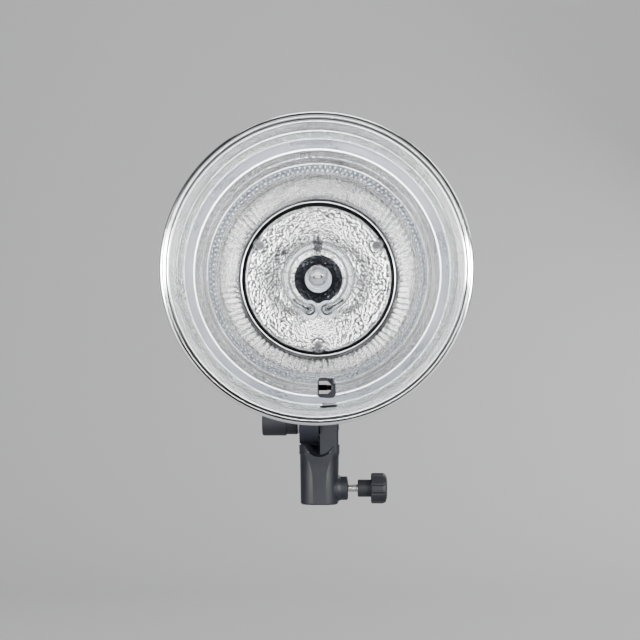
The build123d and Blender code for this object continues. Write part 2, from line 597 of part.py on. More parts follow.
def tube_electrodes():
    """The metal end caps and contact pins of the flash tube."""
    outline = [(0, -90.5), (3.2, -90.5), (3.4, -90.0), (3.4, -84.6), (3.0, -84.0), (1.2, -84.0), (1.2, -72.2),
               (0.8, -71.8), (0, -71.8)]
    return group([turned(outline, (x, 0, LEG_Z), ALONG_Y) for x in (-LEG_X, LEG_X)])


TRIGGER_ANGLES = (-32.0, 2.0, 39.0, 78.0, 90.0, 102.0, 143.0, 171.0, 203.0)


def trigger_wire():
    """The ignition wire: turns round the glass, and the lead back through the plate."""
    turns = []
    for angle in TRIGGER_ANGLES:
        x, z = polar(RING_R, angle)
        tangent = (-sin(radians(angle)), 0, cos(radians(angle)))
        turns.append(Plane(origin=(x, RING_Y, z), z_dir=tangent) * Torus(GLASS_R + 0.4, 0.3))
    lead_z = AXIS_Z + 25.8
    lead = rod((0, RING_Y, AXIS_Z + RING_R + 4.2), (0, RING_Y, lead_z), 0.35)
    lead += Pos(0, RING_Y, lead_z) * Sphere(0.35)
    lead += rod((0, RING_Y, lead_z), (0, -80, lead_z), 0.35)
    return group(turns + [lead])


# ---------------------------------------------------------------- modelling lamp
def lamp_bulb():
    """The lamp's glass capsule, hollow and open at its foot."""
    def capsule(radius, tip):
        arc_start = tip + radius * 0.75
        edge = ThreePointArc((0, tip), (radius * 0.72, tip + radius * 0.22), (radius, arc_start))
        lines = Polyline((radius, arc_start), (radius, -95.0), (0, -95.0), (0, tip))
        return revolve(meridian(OPTICAL, ALONG_Y) * make_face([edge, lines]), Axis(OPTICAL, ALONG_Y), 360)
    return capsule(6.5, -134.0) - capsule(5.6, -133.0)


def lamp_base():
    """The ceramic foot of the lamp, with its two pins."""
    foot = turned([(0, -94.98), (7.0, -94.98), (7.4, -94.5), (7.4, -89.0), (0, -89.0)])
    for x in (-3.2, 3.2):
        foot += rod((x, -89.5, AXIS_Z), (x, -75.0, AXIS_Z), 0.65)
    return foot


def lamp_filament():
    """Support wires and the coiled filament inside the capsule."""
    posts = [rod((x, -94.98, AXIS_Z), (x, -122.0, AXIS_Z), 0.3) for x in (-2.6, 2.6)]
    coil = rod((-3.0, -122.0, AXIS_Z), (3.0, -122.0, AXIS_Z), 0.9)
    return posts[0] + posts[1] + coil


# ---------------------------------------------------------------- reflector
def bowl_curve(extra):
    """The bowl's wall line, moved outwards by extra, with a step just inside the rim."""
    points = [(radius + extra, y) for radius, y in BOWL_LINE]
    return Spline(*points[:-1]), Line(points[-2], points[-1])


RIVET_R, RIVET_ANGLES = 55.2, (60.0, 120.0, 180.0, 240.0, 300.0, 0.0)
FLANGE_R = 61.5


def reflector_bowl():
    """The spun bowl, with a neck flange, a rolled rim, an umbrella opening and an accessory slot."""
    inner, inner_step = bowl_curve(0)
    outer, outer_step = bowl_curve(BOWL_WALL)
    ends = [Line(inner @ 0, outer @ 0), Line(inner_step @ 1, outer_step @ 1)]
    outline = make_face([inner, inner_step, outer, outer_step, *ends])
    wall = revolve(meridian(OPTICAL, ALONG_Y) * outline, Axis(OPTICAL, ALONG_Y), 360)
    flange = ring(BOWL_NECK_R, 57.0, BOWL_NECK_Y, BOWL_NECK_Y + 1.0)
    rim_plane = Plane(origin=(0, RIM_Y + BEAD_WIRE_R, AXIS_Z), z_dir=(0, 1, 0))
    shape = wall + flange + rim_plane * Torus(BEAD_R, BEAD_WIRE_R)
    opening = block((OPENING_X - 5.5, OPENING_X + 5.5), (-170, -105), (OPENING_Z - 6, OPENING_Z + 6))
    shape -= fillet(opening.edges().filter_by(Axis.Y), 2.5)
    slot = block((1.5, 12.5), (-175, -169), (60, 80))
    shape -= fillet(slot.edges().filter_by(Axis.Z), 1.5)
    for angle in RIVET_ANGLES:
        x, z = polar(RIVET_R, angle)
        shape -= rod((x, -94.2, z), (x, -92, z), 1.02)
    return shape




def reflector_collar():
    """The bayonet collar: a tube with three lugs and a flange with an arc slot for the latch pin."""
    shape = turned([(49.0, -92.65), (49.0, -80.8), (52.0, -80.8), (52.0, -90.4), (FLANGE_R, -90.4),
                    (FLANGE_R, -92.0), (FLANGE_R - 0.6, -92.65)])
    for angle in LUG_ANGLES:
        shape += sector(51.0, 56.2, -84.3, -81.2, angle - 15.0, 30.0)
    shape -= sector(LATCH_R - 1.3, LATCH_R + 1.2, -94, -90, LATCH_ANGLE - TWIST - 2.0, TWIST + 4.0)
    for angle in RIVET_ANGLES:
        x, z = polar(RIVET_R, angle)
        shape -= rod((x, -94, z), (x, -89, z), 1.02)
    return shape


def collar_rivets():
    """The rivets that join the bowl to its collar."""
    outline = [(0, -95.1), (0.9, -95.0), (1.9, -94.3), (1.9, BOWL_NECK_Y - 0.02), (1.0, BOWL_NECK_Y - 0.02),
               (1.0, -90.5), (0, -90.5)]
    places = [polar(RIVET_R, angle) for angle in RIVET_ANGLES]
    return group([turned(outline, (x, 0, z), ALONG_Y) for x, z in places])


# ---------------------------------------------------------------- control panel
DIAL_Z = AXIS_Z - 4.0
WINDOW_Z = AXIS_Z + 30.0
KEY_PLACES = {"lamp_button": (-31.0, AXIS_Z + 4.0), "sound_button": (-31.0, AXIS_Z - 11.0),
              "slave_button": (31.0, AXIS_Z + 4.0)}
KEY_W, KEY_H = 14.0, 8.0
TEST_X, TEST_Z, TEST_R = 37.0, AXIS_Z + 27.0, 5.5
SENSOR_X, SENSOR_Z, SENSOR_R = -37.0, AXIS_Z + 27.0, 4.8
JACK_X, JACK_Z, JACK_R = 42.5, AXIS_Z - 21.0, 3.25
PANEL_SCREW_ANGLES, PANEL_SCREW_R = (62.0, 118.0, 187.0, 353.0), 53.5
INLET_X, INLET_Z = (-27.0, 27.0), (AXIS_Z - 48.5, AXIS_Z - 23.0)
SOCKET_X, SOCKET_Z = (0.8, 24.8), (AXIS_Z - 44.2, AXIS_Z - 27.4)
DRAWER_X, DRAWER_Z = (-9.6, -1.6), (AXIS_Z - 44.2, AXIS_Z - 27.4)
ROCKER_X, ROCKER_Z = (-24.2, -11.8), (AXIS_Z - 45.2, AXIS_Z - 26.4)
ROCKER_PIVOT_Y, ROCKER_SWING = 160.0, 8.0


def inset(span, by):
    """A span made narrower at both ends."""
    return span[0] + by, span[1] - by


def rounded(xs, ys, zs, radius):
    """A block with its edges along Y rounded."""
    return fillet(block(xs, ys, zs).edges().filter_by(Axis.Y), radius)


def rear_panel():
    """The control panel, with an opening for each control."""
    shape = ring(0, 58.7, PANEL_Y - 2.9, PANEL_Y)
    shape -= block((-22, 22), (150, 170), (WINDOW_Z - 10, WINDOW_Z + 10))
    shape -= rounded((-23.6, 23.6), (PANEL_Y - 0.8, 170), (WINDOW_Z - 11.6, WINDOW_Z + 11.6), 2.0)
    shape -= rod((0, 150, DIAL_Z), (0, 170, DIAL_Z), 3.4)
    shape -= turned([(0, PANEL_Y - 0.7), (15.2, PANEL_Y - 0.7), (15.9, 164), (0, 164)], (0, 0, DIAL_Z))
    for x, z in KEY_PLACES.values():
        half_w, half_h = KEY_W / 2 + GAP, KEY_H / 2 + GAP
        opening = (x - half_w, x + half_w), (150, 170), (z - half_h, z + half_h)
        shape -= rounded(*opening, 2.2)
    shape -= rod((TEST_X, 150, TEST_Z), (TEST_X, 170, TEST_Z), TEST_R + GAP)
    shape -= rod((SENSOR_X, 150, SENSOR_Z), (SENSOR_X, 170, SENSOR_Z), SENSOR_R + 0.03)
    shape -= rod((JACK_X, 150, JACK_Z), (JACK_X, 170, JACK_Z), 4.55)
    shape -= block(inset(INLET_X, 1.4), (150, 170), inset(INLET_Z, 1.3))
    for angle in PANEL_SCREW_ANGLES:
        x, z = polar(PANEL_SCREW_R, angle)
        shape -= rod((x, 150, z), (x, 170, z), 1.55)
    return shape


def panel_screws():
    """The pan head screws of the control panel."""
    outline = [(0, 155.5), (1.5, 155.5), (1.5, PANEL_Y + 0.02), (2.8, PANEL_Y + 0.02), (2.8, 164.1),
               (2.0, 164.9),
               (0.8, 164.9), (0.8, 164.1), (0, 164.1)]
    places = [polar(PANEL_SCREW_R, angle) for angle in PANEL_SCREW_ANGLES]
    return group([turned(outline, (x, 0, z)) for x, z in places])


def display_window():
    """The clear window over the display."""
    return rounded((-23.5, 23.5), (PANEL_Y - 0.78, PANEL_Y + 0.4), (WINDOW_Z - 11.5, WINDOW_Z + 11.5), 2.0)


def display_module():
    """The display behind its window."""
    return block((-21.5, 21.5), (154.5, 161.9), (WINDOW_Z - 9.5, WINDOW_Z + 9.5))


def encoder_plunger():
    """The encoder's push rod, which the dial turns on."""
    outline = [(0, 148.4), (2.6, 148.4), (2.6, 155.4), (1.2, 155.4), (1.2, 160.0), (0, 160.0)]
    return turned(outline, (0, 0, DIAL_Z))


def control_dial():
    """The dial with its moulded shaft, a pointer notch and a knurled edge."""
    outline = [(1.2 + RUN, 155.6), (3.0, 155.6), (3.0, 163.8), (13.8, 163.8), (14.0, 164.4), (12.9, 177.0),
               (11.9, 178.0), (10.6, 177.6), (0, 177.0), (0, 160.6), (1.2 + RUN, 160.6)]
    origin = (0, 0, DIAL_Z)
    dial = fluted(turned(outline, origin), 24, 0.75, 14.1, 165.2, 179, origin, ALONG_Y)
    return dial - rod((0, 176.6, DIAL_Z + 8.4), (0, 179, DIAL_Z + 8.4), 1.1)


def key(name):
    """A push button with an inner flange that keeps it in the panel."""
    x, z = KEY_PLACES[name]
    cap = rounded((x - KEY_W / 2, x + KEY_W / 2), (158.5, 165.4), (z - KEY_H / 2, z + KEY_H / 2), 2.0)
    cap = fillet(cap.faces().sort_by(Axis.Y)[-1].edges(), 0.7)
    half_w, half_h = KEY_W / 2 + 1.2, KEY_H / 2 + 1.2
    return cap + block((x - half_w, x + half_w), (157.6, 159.8), (z - half_h, z + half_h))


def test_button():
    """The round flash test button."""
    return turned([(0, 157.6), (TEST_R + 1.3, 157.6), (TEST_R + 1.3, 159.8), (TEST_R, 159.8), (TEST_R, 164.6),
                   (TEST_R - 0.8, 165.4), (0, 165.0)], (TEST_X, 0, TEST_Z))


def slave_sensor():
    """The translucent dome of the slave cell."""
    dome = rod((SENSOR_X, 158.0, SENSOR_Z), (SENSOR_X, 168.0, SENSOR_Z), SENSOR_R)
    return fillet(dome.faces().sort_by(Axis.Y)[-1].edges(), 3.9)


def sync_jack():
    """The sync socket, with its nut."""
    origin = (JACK_X, 0, JACK_Z)
    body = ring(0, 4.5, 150.0, 166.4, origin)
    plane = Plane(origin=(JACK_X, PANEL_Y + 0.02, JACK_Z), z_dir=(0, 1, 0))
    body += extrude(plane * RegularPolygon(5.6, 6, major_radius=False), 1.8)
    return body - rod((JACK_X, 152.0, JACK_Z), (JACK_X, 170, JACK_Z), JACK_R)


def mains_inlet():
    """The mains module: a frame round the inlet, the fuse drawer's recess and the rocker's recess."""
    shape = rounded(INLET_X, (PANEL_Y + 0.02, 165.4), INLET_Z, 2.0)
    shape += block(inset(INLET_X, 1.5), (140, PANEL_Y + 1), inset(INLET_Z, 1.4))
    shape -= fillet(block(SOCKET_X, (149, 170), SOCKET_Z).edges().filter_by(Axis.Y), 1.5)
    shape -= block(DRAWER_X, (145, 170), DRAWER_Z)
    shape -= block(ROCKER_X, (148, 170), ROCKER_Z)
    for pin in pin_spans():
        shape -= block(inset(pin[0], -0.02), (143.98, 150), inset(pin[1], -0.02))
    return shape


def pin_spans():
    """(x, z) spans of the inlet's three blades."""
    centre_x, centre_z = sum(SOCKET_X) / 2, sum(SOCKET_Z) / 2
    places = [(centre_x - 7.0, centre_z - 1.5), (centre_x, centre_z + 2.5), (centre_x + 7.0, centre_z - 1.5)]
    return [((x - 1.0, x + 1.0), (z - 2.0, z + 2.0)) for x, z in places]


def inlet_pins():
    """The inlet's three contact blades."""
    return group([chamfer(block(xs, (144, 159.5), zs).faces().sort_by(Axis.Y)[-1].edges(), 0.5)
                  for xs, zs in pin_spans()])


def fuse_drawer():
    """The drawer that holds the mains fuse."""
    xs, zs = inset(DRAWER_X, 0.2), inset(DRAWER_Z, 0.2)
    drawer = block(xs, (146, 166.2), zs)
    drawer -= block(inset(xs, 1.2), (148, 163), (zs[0] + 1.2, zs[1] + 1))
    return drawer - block((xs[0] - 1, xs[1] + 1), (165.2, 167), (zs[0] + 6.5, zs[0] + 9.5))


def power_rocker():
    """The mains rocker, resting with its upper half pressed in."""
    middle_z = sum(ROCKER_Z) / 2
    outline = [(-8.6, 165.6), (-0.5, 164.0), (0.5, 164.0), (8.6, 165.6), (7.8, 157.0), (-7.8, 157.0)]
    plane = Plane(origin=(ROCKER_X[0] + 0.35, 0, middle_z), x_dir=(0, 0, 1), z_dir=(-1, 0, 0))
    width = ROCKER_X[1] - ROCKER_X[0] - 0.7
    rocker = extrude(plane * make_face(Polyline(*outline, close=True)), -width)
    return rocker.rotate(Axis((0, ROCKER_PIVOT_Y, middle_z), ALONG_X), ROCKER_SWING)


# ---------------------------------------------------------------- inside the casing
FAN_Y = (104.0, 119.0)
CAP_R, CAP_X, CAP_Z = 22.0, 24.0, AXIS_Z - 17.0
BOARD_Z = AXIS_Z + 8.0


def control_board():
    """The circuit board behind the panel."""
    board = block((-38, 38), (146.0, 147.6), (AXIS_Z - 21, AXIS_Z + 40))
    return board + block((-21, 21), (147.6, 154.4), (WINDOW_Z - 9, WINDOW_Z + 9))


def power_board():
    """The charging board with its larger components."""
    board = block((-46, 46), (-60, 98), (BOARD_Z, BOARD_Z + 1.6))
    parts = [block((-34, -14), (-45, -15), (BOARD_Z + 1, BOARD_Z + 28)),
             block((8, 34), (-48, -20), (BOARD_Z + 1, BOARD_Z + 20)),
             rod((-20, 40, BOARD_Z + 1), (-20, 40, BOARD_Z + 24), 14),
             block((2, 6), (-5, 80), (BOARD_Z + 1, BOARD_Z + 34)),
             rod((28, 60, BOARD_Z + 1), (28, 60, BOARD_Z + 26), 9)]
    for part in parts:
        board += part
    return board


def flash_capacitors():
    """The two storage capacitors."""
    can = [(0, 0.0), (CAP_R - 1.5, 0.0), (CAP_R, 1.5), (CAP_R, 76.0), (CAP_R - 0.8, 77.0),
           (CAP_R - 0.8, 78.5),
           (CAP_R, 79.5), (CAP_R, 84.0), (0, 84.0)]
    return group([turned(can, (x, 0, CAP_Z)) for x in (-CAP_X, CAP_X)])


def trigger_transformer():
    """The ignition transformer below the tube's socket."""
    return block((-12, 12), (-68, -46), (AXIS_Z - 52, AXIS_Z - 32))


def fan_frame():
    """The fan's square frame, with the motor's spider."""
    frame = block((-30, 30), FAN_Y, (AXIS_Z - 30, AXIS_Z + 30))
    frame -= rod((0, 100, AXIS_Z), (0, 125, AXIS_Z), 28)
    for angle in (45, 135, 225, 315):
        arm = block((6, 29), (FAN_Y[1] - 2.0, FAN_Y[1]), (AXIS_Z - 1.5, AXIS_Z + 1.5))
        frame += arm.rotate(FRONT_AXIS, angle)
    frame += ring(2.0 + RUN, 12.0, FAN_Y[1] - 2.0, FAN_Y[1])
    return frame


def fan_rotor():
    """The fan's hub, its shaft and seven blades."""
    rotor = ring(0, 12.5, FAN_Y[0] + 1, FAN_Y[1] - 2.6) + ring(0, 2.0, 110, FAN_Y[1] - 0.2)
    blade = Pos(19.5, 110.5, AXIS_Z) * Rot(35, 0, 0) * Box(15.0, 1.2, 11.0)
    for copy in around(blade, [360 / 7 * n for n in range(7)]):
        rotor += copy
    return rotor


# ---------------------------------------------------------------- write every node
def build():
    """Every node of the strobe, by name."""
    handle = carry_handle()
    nodes = {"carry_handle": handle, "handle_grip": handle_grip(handle)}
    makers = [
        stand_socket, clamp_insert, tilt_nut, friction_washer, stand_clamp_pad, stand_clamp_screw,
        stand_clamp_knob, tilt_screw, lever_retaining_screw, lever_spring, tilt_lever, tilt_arm,
        umbrella_screw_tip, umbrella_screw, housing_upper, housing_lower, casing_screws, rear_frame,
        front_bezel, mount_ring, front_screws, mount_latch, bulkhead, reflector_plate, lamp_well,
        tube_socket, lamp_holder, flash_tube, tube_electrodes, trigger_wire, lamp_bulb, lamp_base,
        lamp_filament, reflector_bowl, reflector_collar, collar_rivets, rear_panel, panel_screws,
        display_window, display_module, encoder_plunger, control_dial, test_button, slave_sensor,
        sync_jack, mains_inlet, inlet_pins, fuse_drawer, power_rocker, control_board, power_board,
        flash_capacitors, trigger_transformer, fan_frame, fan_rotor,
    ]
    for maker in makers:
        nodes[maker.__name__] = maker()
    for name in KEY_PLACES:
        nodes[name] = key(name)
    return nodes


os.makedirs("parts", exist_ok=True)
for name, shape in build().items():
    export_step(shape, f"parts/{name}.step")
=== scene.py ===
"""The monolight strobe's looks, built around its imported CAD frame. Lengths are in metres."""

from math import cos, pi, radians, sin

import bmesh
import bpy
import numpy as np
from mathutils import Matrix, Vector


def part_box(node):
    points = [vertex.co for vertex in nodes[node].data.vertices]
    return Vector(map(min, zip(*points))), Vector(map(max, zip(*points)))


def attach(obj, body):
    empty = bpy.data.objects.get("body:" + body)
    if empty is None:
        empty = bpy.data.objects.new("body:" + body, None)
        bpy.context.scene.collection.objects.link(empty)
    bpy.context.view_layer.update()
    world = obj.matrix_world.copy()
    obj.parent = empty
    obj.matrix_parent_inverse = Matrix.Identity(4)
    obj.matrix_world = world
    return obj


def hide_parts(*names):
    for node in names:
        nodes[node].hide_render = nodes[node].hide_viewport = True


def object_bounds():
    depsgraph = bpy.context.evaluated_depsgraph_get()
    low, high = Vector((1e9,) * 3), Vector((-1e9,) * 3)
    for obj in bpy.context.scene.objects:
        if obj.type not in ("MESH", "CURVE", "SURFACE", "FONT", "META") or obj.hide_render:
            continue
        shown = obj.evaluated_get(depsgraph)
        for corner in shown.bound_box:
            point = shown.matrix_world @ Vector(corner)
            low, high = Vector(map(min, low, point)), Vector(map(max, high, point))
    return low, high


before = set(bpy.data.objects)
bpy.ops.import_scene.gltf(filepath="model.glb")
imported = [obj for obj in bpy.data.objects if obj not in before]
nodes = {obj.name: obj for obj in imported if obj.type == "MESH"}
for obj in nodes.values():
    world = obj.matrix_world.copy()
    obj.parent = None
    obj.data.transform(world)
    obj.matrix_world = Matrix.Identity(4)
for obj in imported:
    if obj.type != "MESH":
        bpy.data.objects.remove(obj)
cad_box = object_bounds()
MM = 0.001


# ---------------------------------------------------------------- places, from the frame
def middle(node):
    """The middle of a CAD node's box."""
    low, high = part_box(node)
    return (Vector(low) + Vector(high)) / 2


bowl_low, bowl_high = (Vector(corner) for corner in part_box("reflector_bowl"))
plate_low, plate_high = (Vector(corner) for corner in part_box("reflector_plate"))
tube_low, tube_high = (Vector(corner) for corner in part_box("flash_tube"))
bulb_low = Vector(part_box("lamp_bulb")[0])
base_low = Vector(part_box("lamp_base")[0])
panel_high = Vector(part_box("rear_panel")[1])
dial_low, dial_high = (Vector(corner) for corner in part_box("control_dial"))
window_low, window_high = (Vector(corner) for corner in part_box("display_window"))
holder_z = middle("umbrella_screw").z

AXIS_Z = middle("reflector_bowl").z
RIM_Y = bowl_low.y
RIM_R = bowl_high.x
PANEL_Y = panel_high.y
DIAL_Z = (dial_low.z + dial_high.z) / 2


def on_axis(radius, angle, y):
    """A point at a polar place about the optical axis, as seen from the front, in degrees."""
    return Vector((radius * cos(radians(angle)), y, AXIS_Z + radius * sin(radians(angle))))


def around(count):
    """Angles that share one turn out evenly, in radians."""
    return [2 * pi / count * k for k in range(count)]


# ---------------------------------------------------------------- camera, floor and lights
PAPER_HALF, PAPER_FRONT, PAPER_RISE = 3.4, -3.2, 3.6  # half width, near edge and height over the floor
CAMERA_DISTANCE = 1.0  # from the lens to the reflector's rim
CAMERA_DROP = 0.063  # below the optical axis
CAMERA_SIDE = 0.010  # to the right of the axis
LENS = 97.8  # millimetres, on the camera's own sensor
PITCH, YAW = 1.89, 0.46  # degrees, up and to the left


def add_camera():
    """The camera at the photograph's viewing angle."""
    data = bpy.data.cameras.new("camera")
    data.lens = LENS
    camera = bpy.data.objects.new("camera", data)
    camera.location = (CAMERA_SIDE, RIM_Y - CAMERA_DISTANCE, AXIS_Z - CAMERA_DROP)
    camera.rotation_euler = (radians(90 + PITCH), 0, radians(YAW))
    bpy.context.scene.collection.objects.link(camera)
    bpy.context.scene.camera = camera


def add_light(name, place, target, size, power, colour=(1, 1, 1)):
    """A square softbox that faces a point."""
    data = bpy.data.lights.new(name, "AREA")
    data.shape = "RECTANGLE"
    data.size, data.size_y = size
    data.energy = power
    data.color = colour
    light = bpy.data.objects.new(name, data)
    light.location = place
    light.rotation_euler = (Vector(target) - Vector(place)).to_track_quat("-Z", "Y").to_euler()
    bpy.context.scene.collection.objects.link(light)


def add_studio():
    """A plain pale sweep of paper, soft lights and an even surround."""
    floor_z, wall_y, bend = cad_box[0][2] - 0.16, 1.7, 0.9
    profile = [(PAPER_FRONT, floor_z), (wall_y - bend, floor_z)]
    steps = 12
    for step in range(1, steps + 1):
        turn = radians(90 / steps * step)
        profile.append((wall_y - bend + bend * sin(turn), floor_z + bend * (1 - cos(turn))))
    profile.append((wall_y, floor_z + PAPER_RISE))
    mesh = bpy.data.meshes.new("floor")
    corners = [(x, y, z) for y, z in profile for x in (-PAPER_HALF, PAPER_HALF)]
    faces = [(2 * n, 2 * n + 1, 2 * n + 3, 2 * n + 2) for n in range(len(profile) - 1)]
    mesh.from_pydata(corners, [], faces)
    mesh.shade_smooth()
    floor = bpy.data.objects.new("floor", mesh)
    bpy.context.scene.collection.objects.link(floor)
    paper = bpy.data.materials.new("paper")
    paper.use_nodes = True
    shader = paper.node_tree.nodes["Principled BSDF"]
    shader.inputs["Base Color"].default_value = (0.3, 0.3, 0.305, 1)
    shader.inputs["Roughness"].default_value = 0.9
    mesh.materials.append(paper)
    world = bpy.data.worlds.new("surround")
    world.use_nodes = True
    surround = world.node_tree.nodes["Background"]
    surround.inputs["Color"].default_value = (0.62, 0.64, 0.67, 1)
    surround.inputs["Strength"].default_value = 0.07
    bpy.context.scene.world = world
    head = (0, 0, AXIS_Z)
    add_light("left", (-1.12, -1.32, 0.2), head, (0.7, 0.34), 62)
    add_light("right", (1.12, -1.32, 0.2), head, (0.7, 0.34), 62)
    add_light("top", (0.1, 0.45, 1.6), head, (1.0, 0.6), 13)
    add_light("rear", (0.9, 1.15, 0.8), head, (0.7, 0.7), 16)
    add_light("sweep", (0, 0.2, 2.4), (0, 1.5, 0.2), (2.6, 0.6), 34)
    add_glow()


def add_glow():
    """The soft light that the modelling lamp throws on the reflector around it."""
    data = bpy.data.lights.new("glow", "POINT")
    data.energy = 0.08
    data.shadow_soft_size = 0.009
    light = bpy.data.objects.new("glow", data)
    light.location = (0, bulb_low.y - 0.014, AXIS_Z)
    bpy.context.scene.collection.objects.link(light)


# ---------------------------------------------------------------- materials
def shader_inputs(material):
    """The inputs of a material's principled shader."""
    return material.node_tree.nodes["Principled BSDF"].inputs


def new_material(name, colour, roughness, metallic=0.0, **sockets):
    """A principled material; sockets are further inputs by name with _ for a space."""
    material = bpy.data.materials.new(name)
    material.use_nodes = True
    inputs = shader_inputs(material)
    inputs["Base Color"].default_value = (*colour, 1)
    inputs["Roughness"].default_value = roughness
    inputs["Metallic"].default_value = metallic
    for key, value in sockets.items():
        inputs[key.replace("_", " ")].default_value = value
    return material


def pattern(material, kind, scale, stretch=(1, 1, 1), **settings):
    """A texture node in object space, and the socket that carries its value."""
    tree = material.node_tree
    place = tree.nodes.new("ShaderNodeTexCoord")
    mapping = tree.nodes.new("ShaderNodeMapping")
    mapping.inputs["Scale"].default_value = stretch
    texture = tree.nodes.new(kind)
    texture.inputs["Scale"].default_value = scale
    for key, value in settings.items():
        if key in texture.inputs:
            texture.inputs[key].default_value = value
        else:
            setattr(texture, key, value)
    tree.links.new(place.outputs["Object"], mapping.inputs["Vector"])
    tree.links.new(mapping.outputs["Vector"], texture.inputs["Vector"])
    outputs = texture.outputs
    if "Fac" in outputs:
        return outputs["Fac"]
    return outputs["Distance"]


def ramp(material, value, low, high, start=0.3, end=0.7):
    """value turned into a colour between low and high."""
    node = material.node_tree.nodes.new("ShaderNodeValToRGB")
    node.color_ramp.elements[0].position = start
    node.color_ramp.elements[1].position = end
    node.color_ramp.elements[0].color = (*low, 1)
    node.color_ramp.elements[1].color = (*high, 1)
    material.node_tree.links.new(value, node.inputs["Fac"])
    return node.outputs["Color"]


def vary(material, socket, value, low, high, start=0.3, end=0.7):
    """Drives a shader socket by a pattern, between two numbers or two colours."""
    target = shader_inputs(material)[socket]
    if isinstance(low, (int, float)):
        node = material.node_tree.nodes.new("ShaderNodeMapRange")
        node.inputs["From Min"].default_value = start
        node.inputs["From Max"].default_value = end
        node.inputs["To Min"].default_value = low
        node.inputs["To Max"].default_value = high
        material.node_tree.links.new(value, node.inputs["Value"])
        material.node_tree.links.new(node.outputs["Result"], target)
    else:
        material.node_tree.links.new(ramp(material, value, low, high, start, end), target)


def bump(material, value, depth, strength=1.0):
    """Adds a bump, on top of any the material already has. depth is in metres."""
    tree = material.node_tree
    normal = shader_inputs(material)["Normal"]
    node = tree.nodes.new("ShaderNodeBump")
    node.inputs["Strength"].default_value = strength
    node.inputs["Distance"].default_value = depth
    tree.links.new(value, node.inputs["Height"])
    if normal.links:
        tree.links.new(normal.links[0].from_socket, node.inputs["Normal"])
    tree.links.new(node.outputs["Normal"], normal)


def moulded(name, colour, roughness=0.5, grain=900, depth=0.00012):
    """Moulded plastic with a fine spark-eroded grain and faint handling marks."""
    material = new_material(name, colour, roughness)
    cells = pattern(material, "ShaderNodeTexVoronoi", grain)
    smudge = pattern(material, "ShaderNodeTexNoise", 22, Detail=5.0, Roughness=0.6)
    bump(material, cells, depth, 0.5)
    vary(material, "Roughness", smudge, roughness - 0.1, roughness + 0.12)
    lighter = [min(1, c * 1.45 + 0.002) for c in colour]
    vary(material, "Base Color", smudge, colour, lighter, 0.35, 0.75)
    return material


def coated(name, colour):
    """Powder coat: a pebbled satin paint."""
    material = new_material(name, colour, 0.42)
    pebble = pattern(material, "ShaderNodeTexNoise", 1500, Detail=2.0)
    cloud = pattern(material, "ShaderNodeTexNoise", 14, Detail=6.0, Roughness=0.65)
    bump(material, pebble, 0.00025, 0.45)
    vary(material, "Roughness", cloud, 0.36, 0.52)
    vary(material, "Base Color", cloud, colour, [c * 1.3 for c in colour])
    return material


def turned_metal(name, colour, roughness=0.25, axis=1, lines=2600, depth=0.00004):
    """Metal with fine turning lines across one axis, and faint smudges."""
    material = new_material(name, colour, roughness, 1.0)
    stretch = [0.02, 0.02, 0.02]
    stretch[axis] = 1.0
    grooves = pattern(material, "ShaderNodeTexNoise", lines, stretch, Detail=3.0)
    smudge = pattern(material, "ShaderNodeTexNoise", 35, Detail=6.0, Roughness=0.65)
    bump(material, grooves, depth, 0.6)
    vary(material, "Roughness", smudge, roughness - 0.07, roughness + 0.1)
    vary(material, "Base Color", smudge, [c * 0.9 for c in colour], colour)
    return material


def ceramic(name):
    """White steatite, with the slightly blue and mottled look it has near a flash tube."""
    material = new_material(name, (0.74, 0.79, 0.86), 0.38)
    mottle = pattern(material, "ShaderNodeTexNoise", 260, Detail=5.0)
    vary(material, "Base Color", mottle, (0.6, 0.66, 0.76), (0.86, 0.89, 0.93))
    bump(material, mottle, 0.0001, 0.4)
    return material


def clear_glass(name, tint, roughness=0.02):
    """Clear glass with faint waviness."""
    material = new_material(name, tint, roughness, 0.0, Transmission_Weight=1.0, IOR=1.46)
    waves = pattern(material, "ShaderNodeTexNoise", 90, Detail=2.0)
    bump(material, waves, 0.0002, 0.25)
    return material


def rubber(name):
    """Dull black rubber."""
    material = new_material(name, (0.018, 0.018, 0.019), 0.75)
    dust = pattern(material, "ShaderNodeTexNoise", 180, Detail=8.0, Roughness=0.7)
    vary(material, "Base Color", dust, (0.013, 0.013, 0.014), (0.05, 0.05, 0.052), 0.45, 0.85)
    vary(material, "Roughness", dust, 0.62, 0.86)
    bump(material, dust, 0.0002, 0.5)
    return material


def reflector_finish(name, colour, roughness, depth=0.00003):
    """Bright spun aluminium: turning lines that run round the axis, and cloudy wear."""
    material = new_material(name, colour, roughness, 1.0)
    lines = pattern(material, "ShaderNodeTexNoise", 3000, (0.004, 1, 0.004), Detail=2.0)
    cloud = pattern(material, "ShaderNodeTexNoise", 28, Detail=7.0, Roughness=0.7)
    bump(material, lines, depth, 0.7)
    vary(material, "Roughness", cloud, roughness - 0.06, roughness + 0.09)
    vary(material, "Base Color", cloud, [c * 0.86 for c in colour], colour, 0.3, 0.65)
    return material


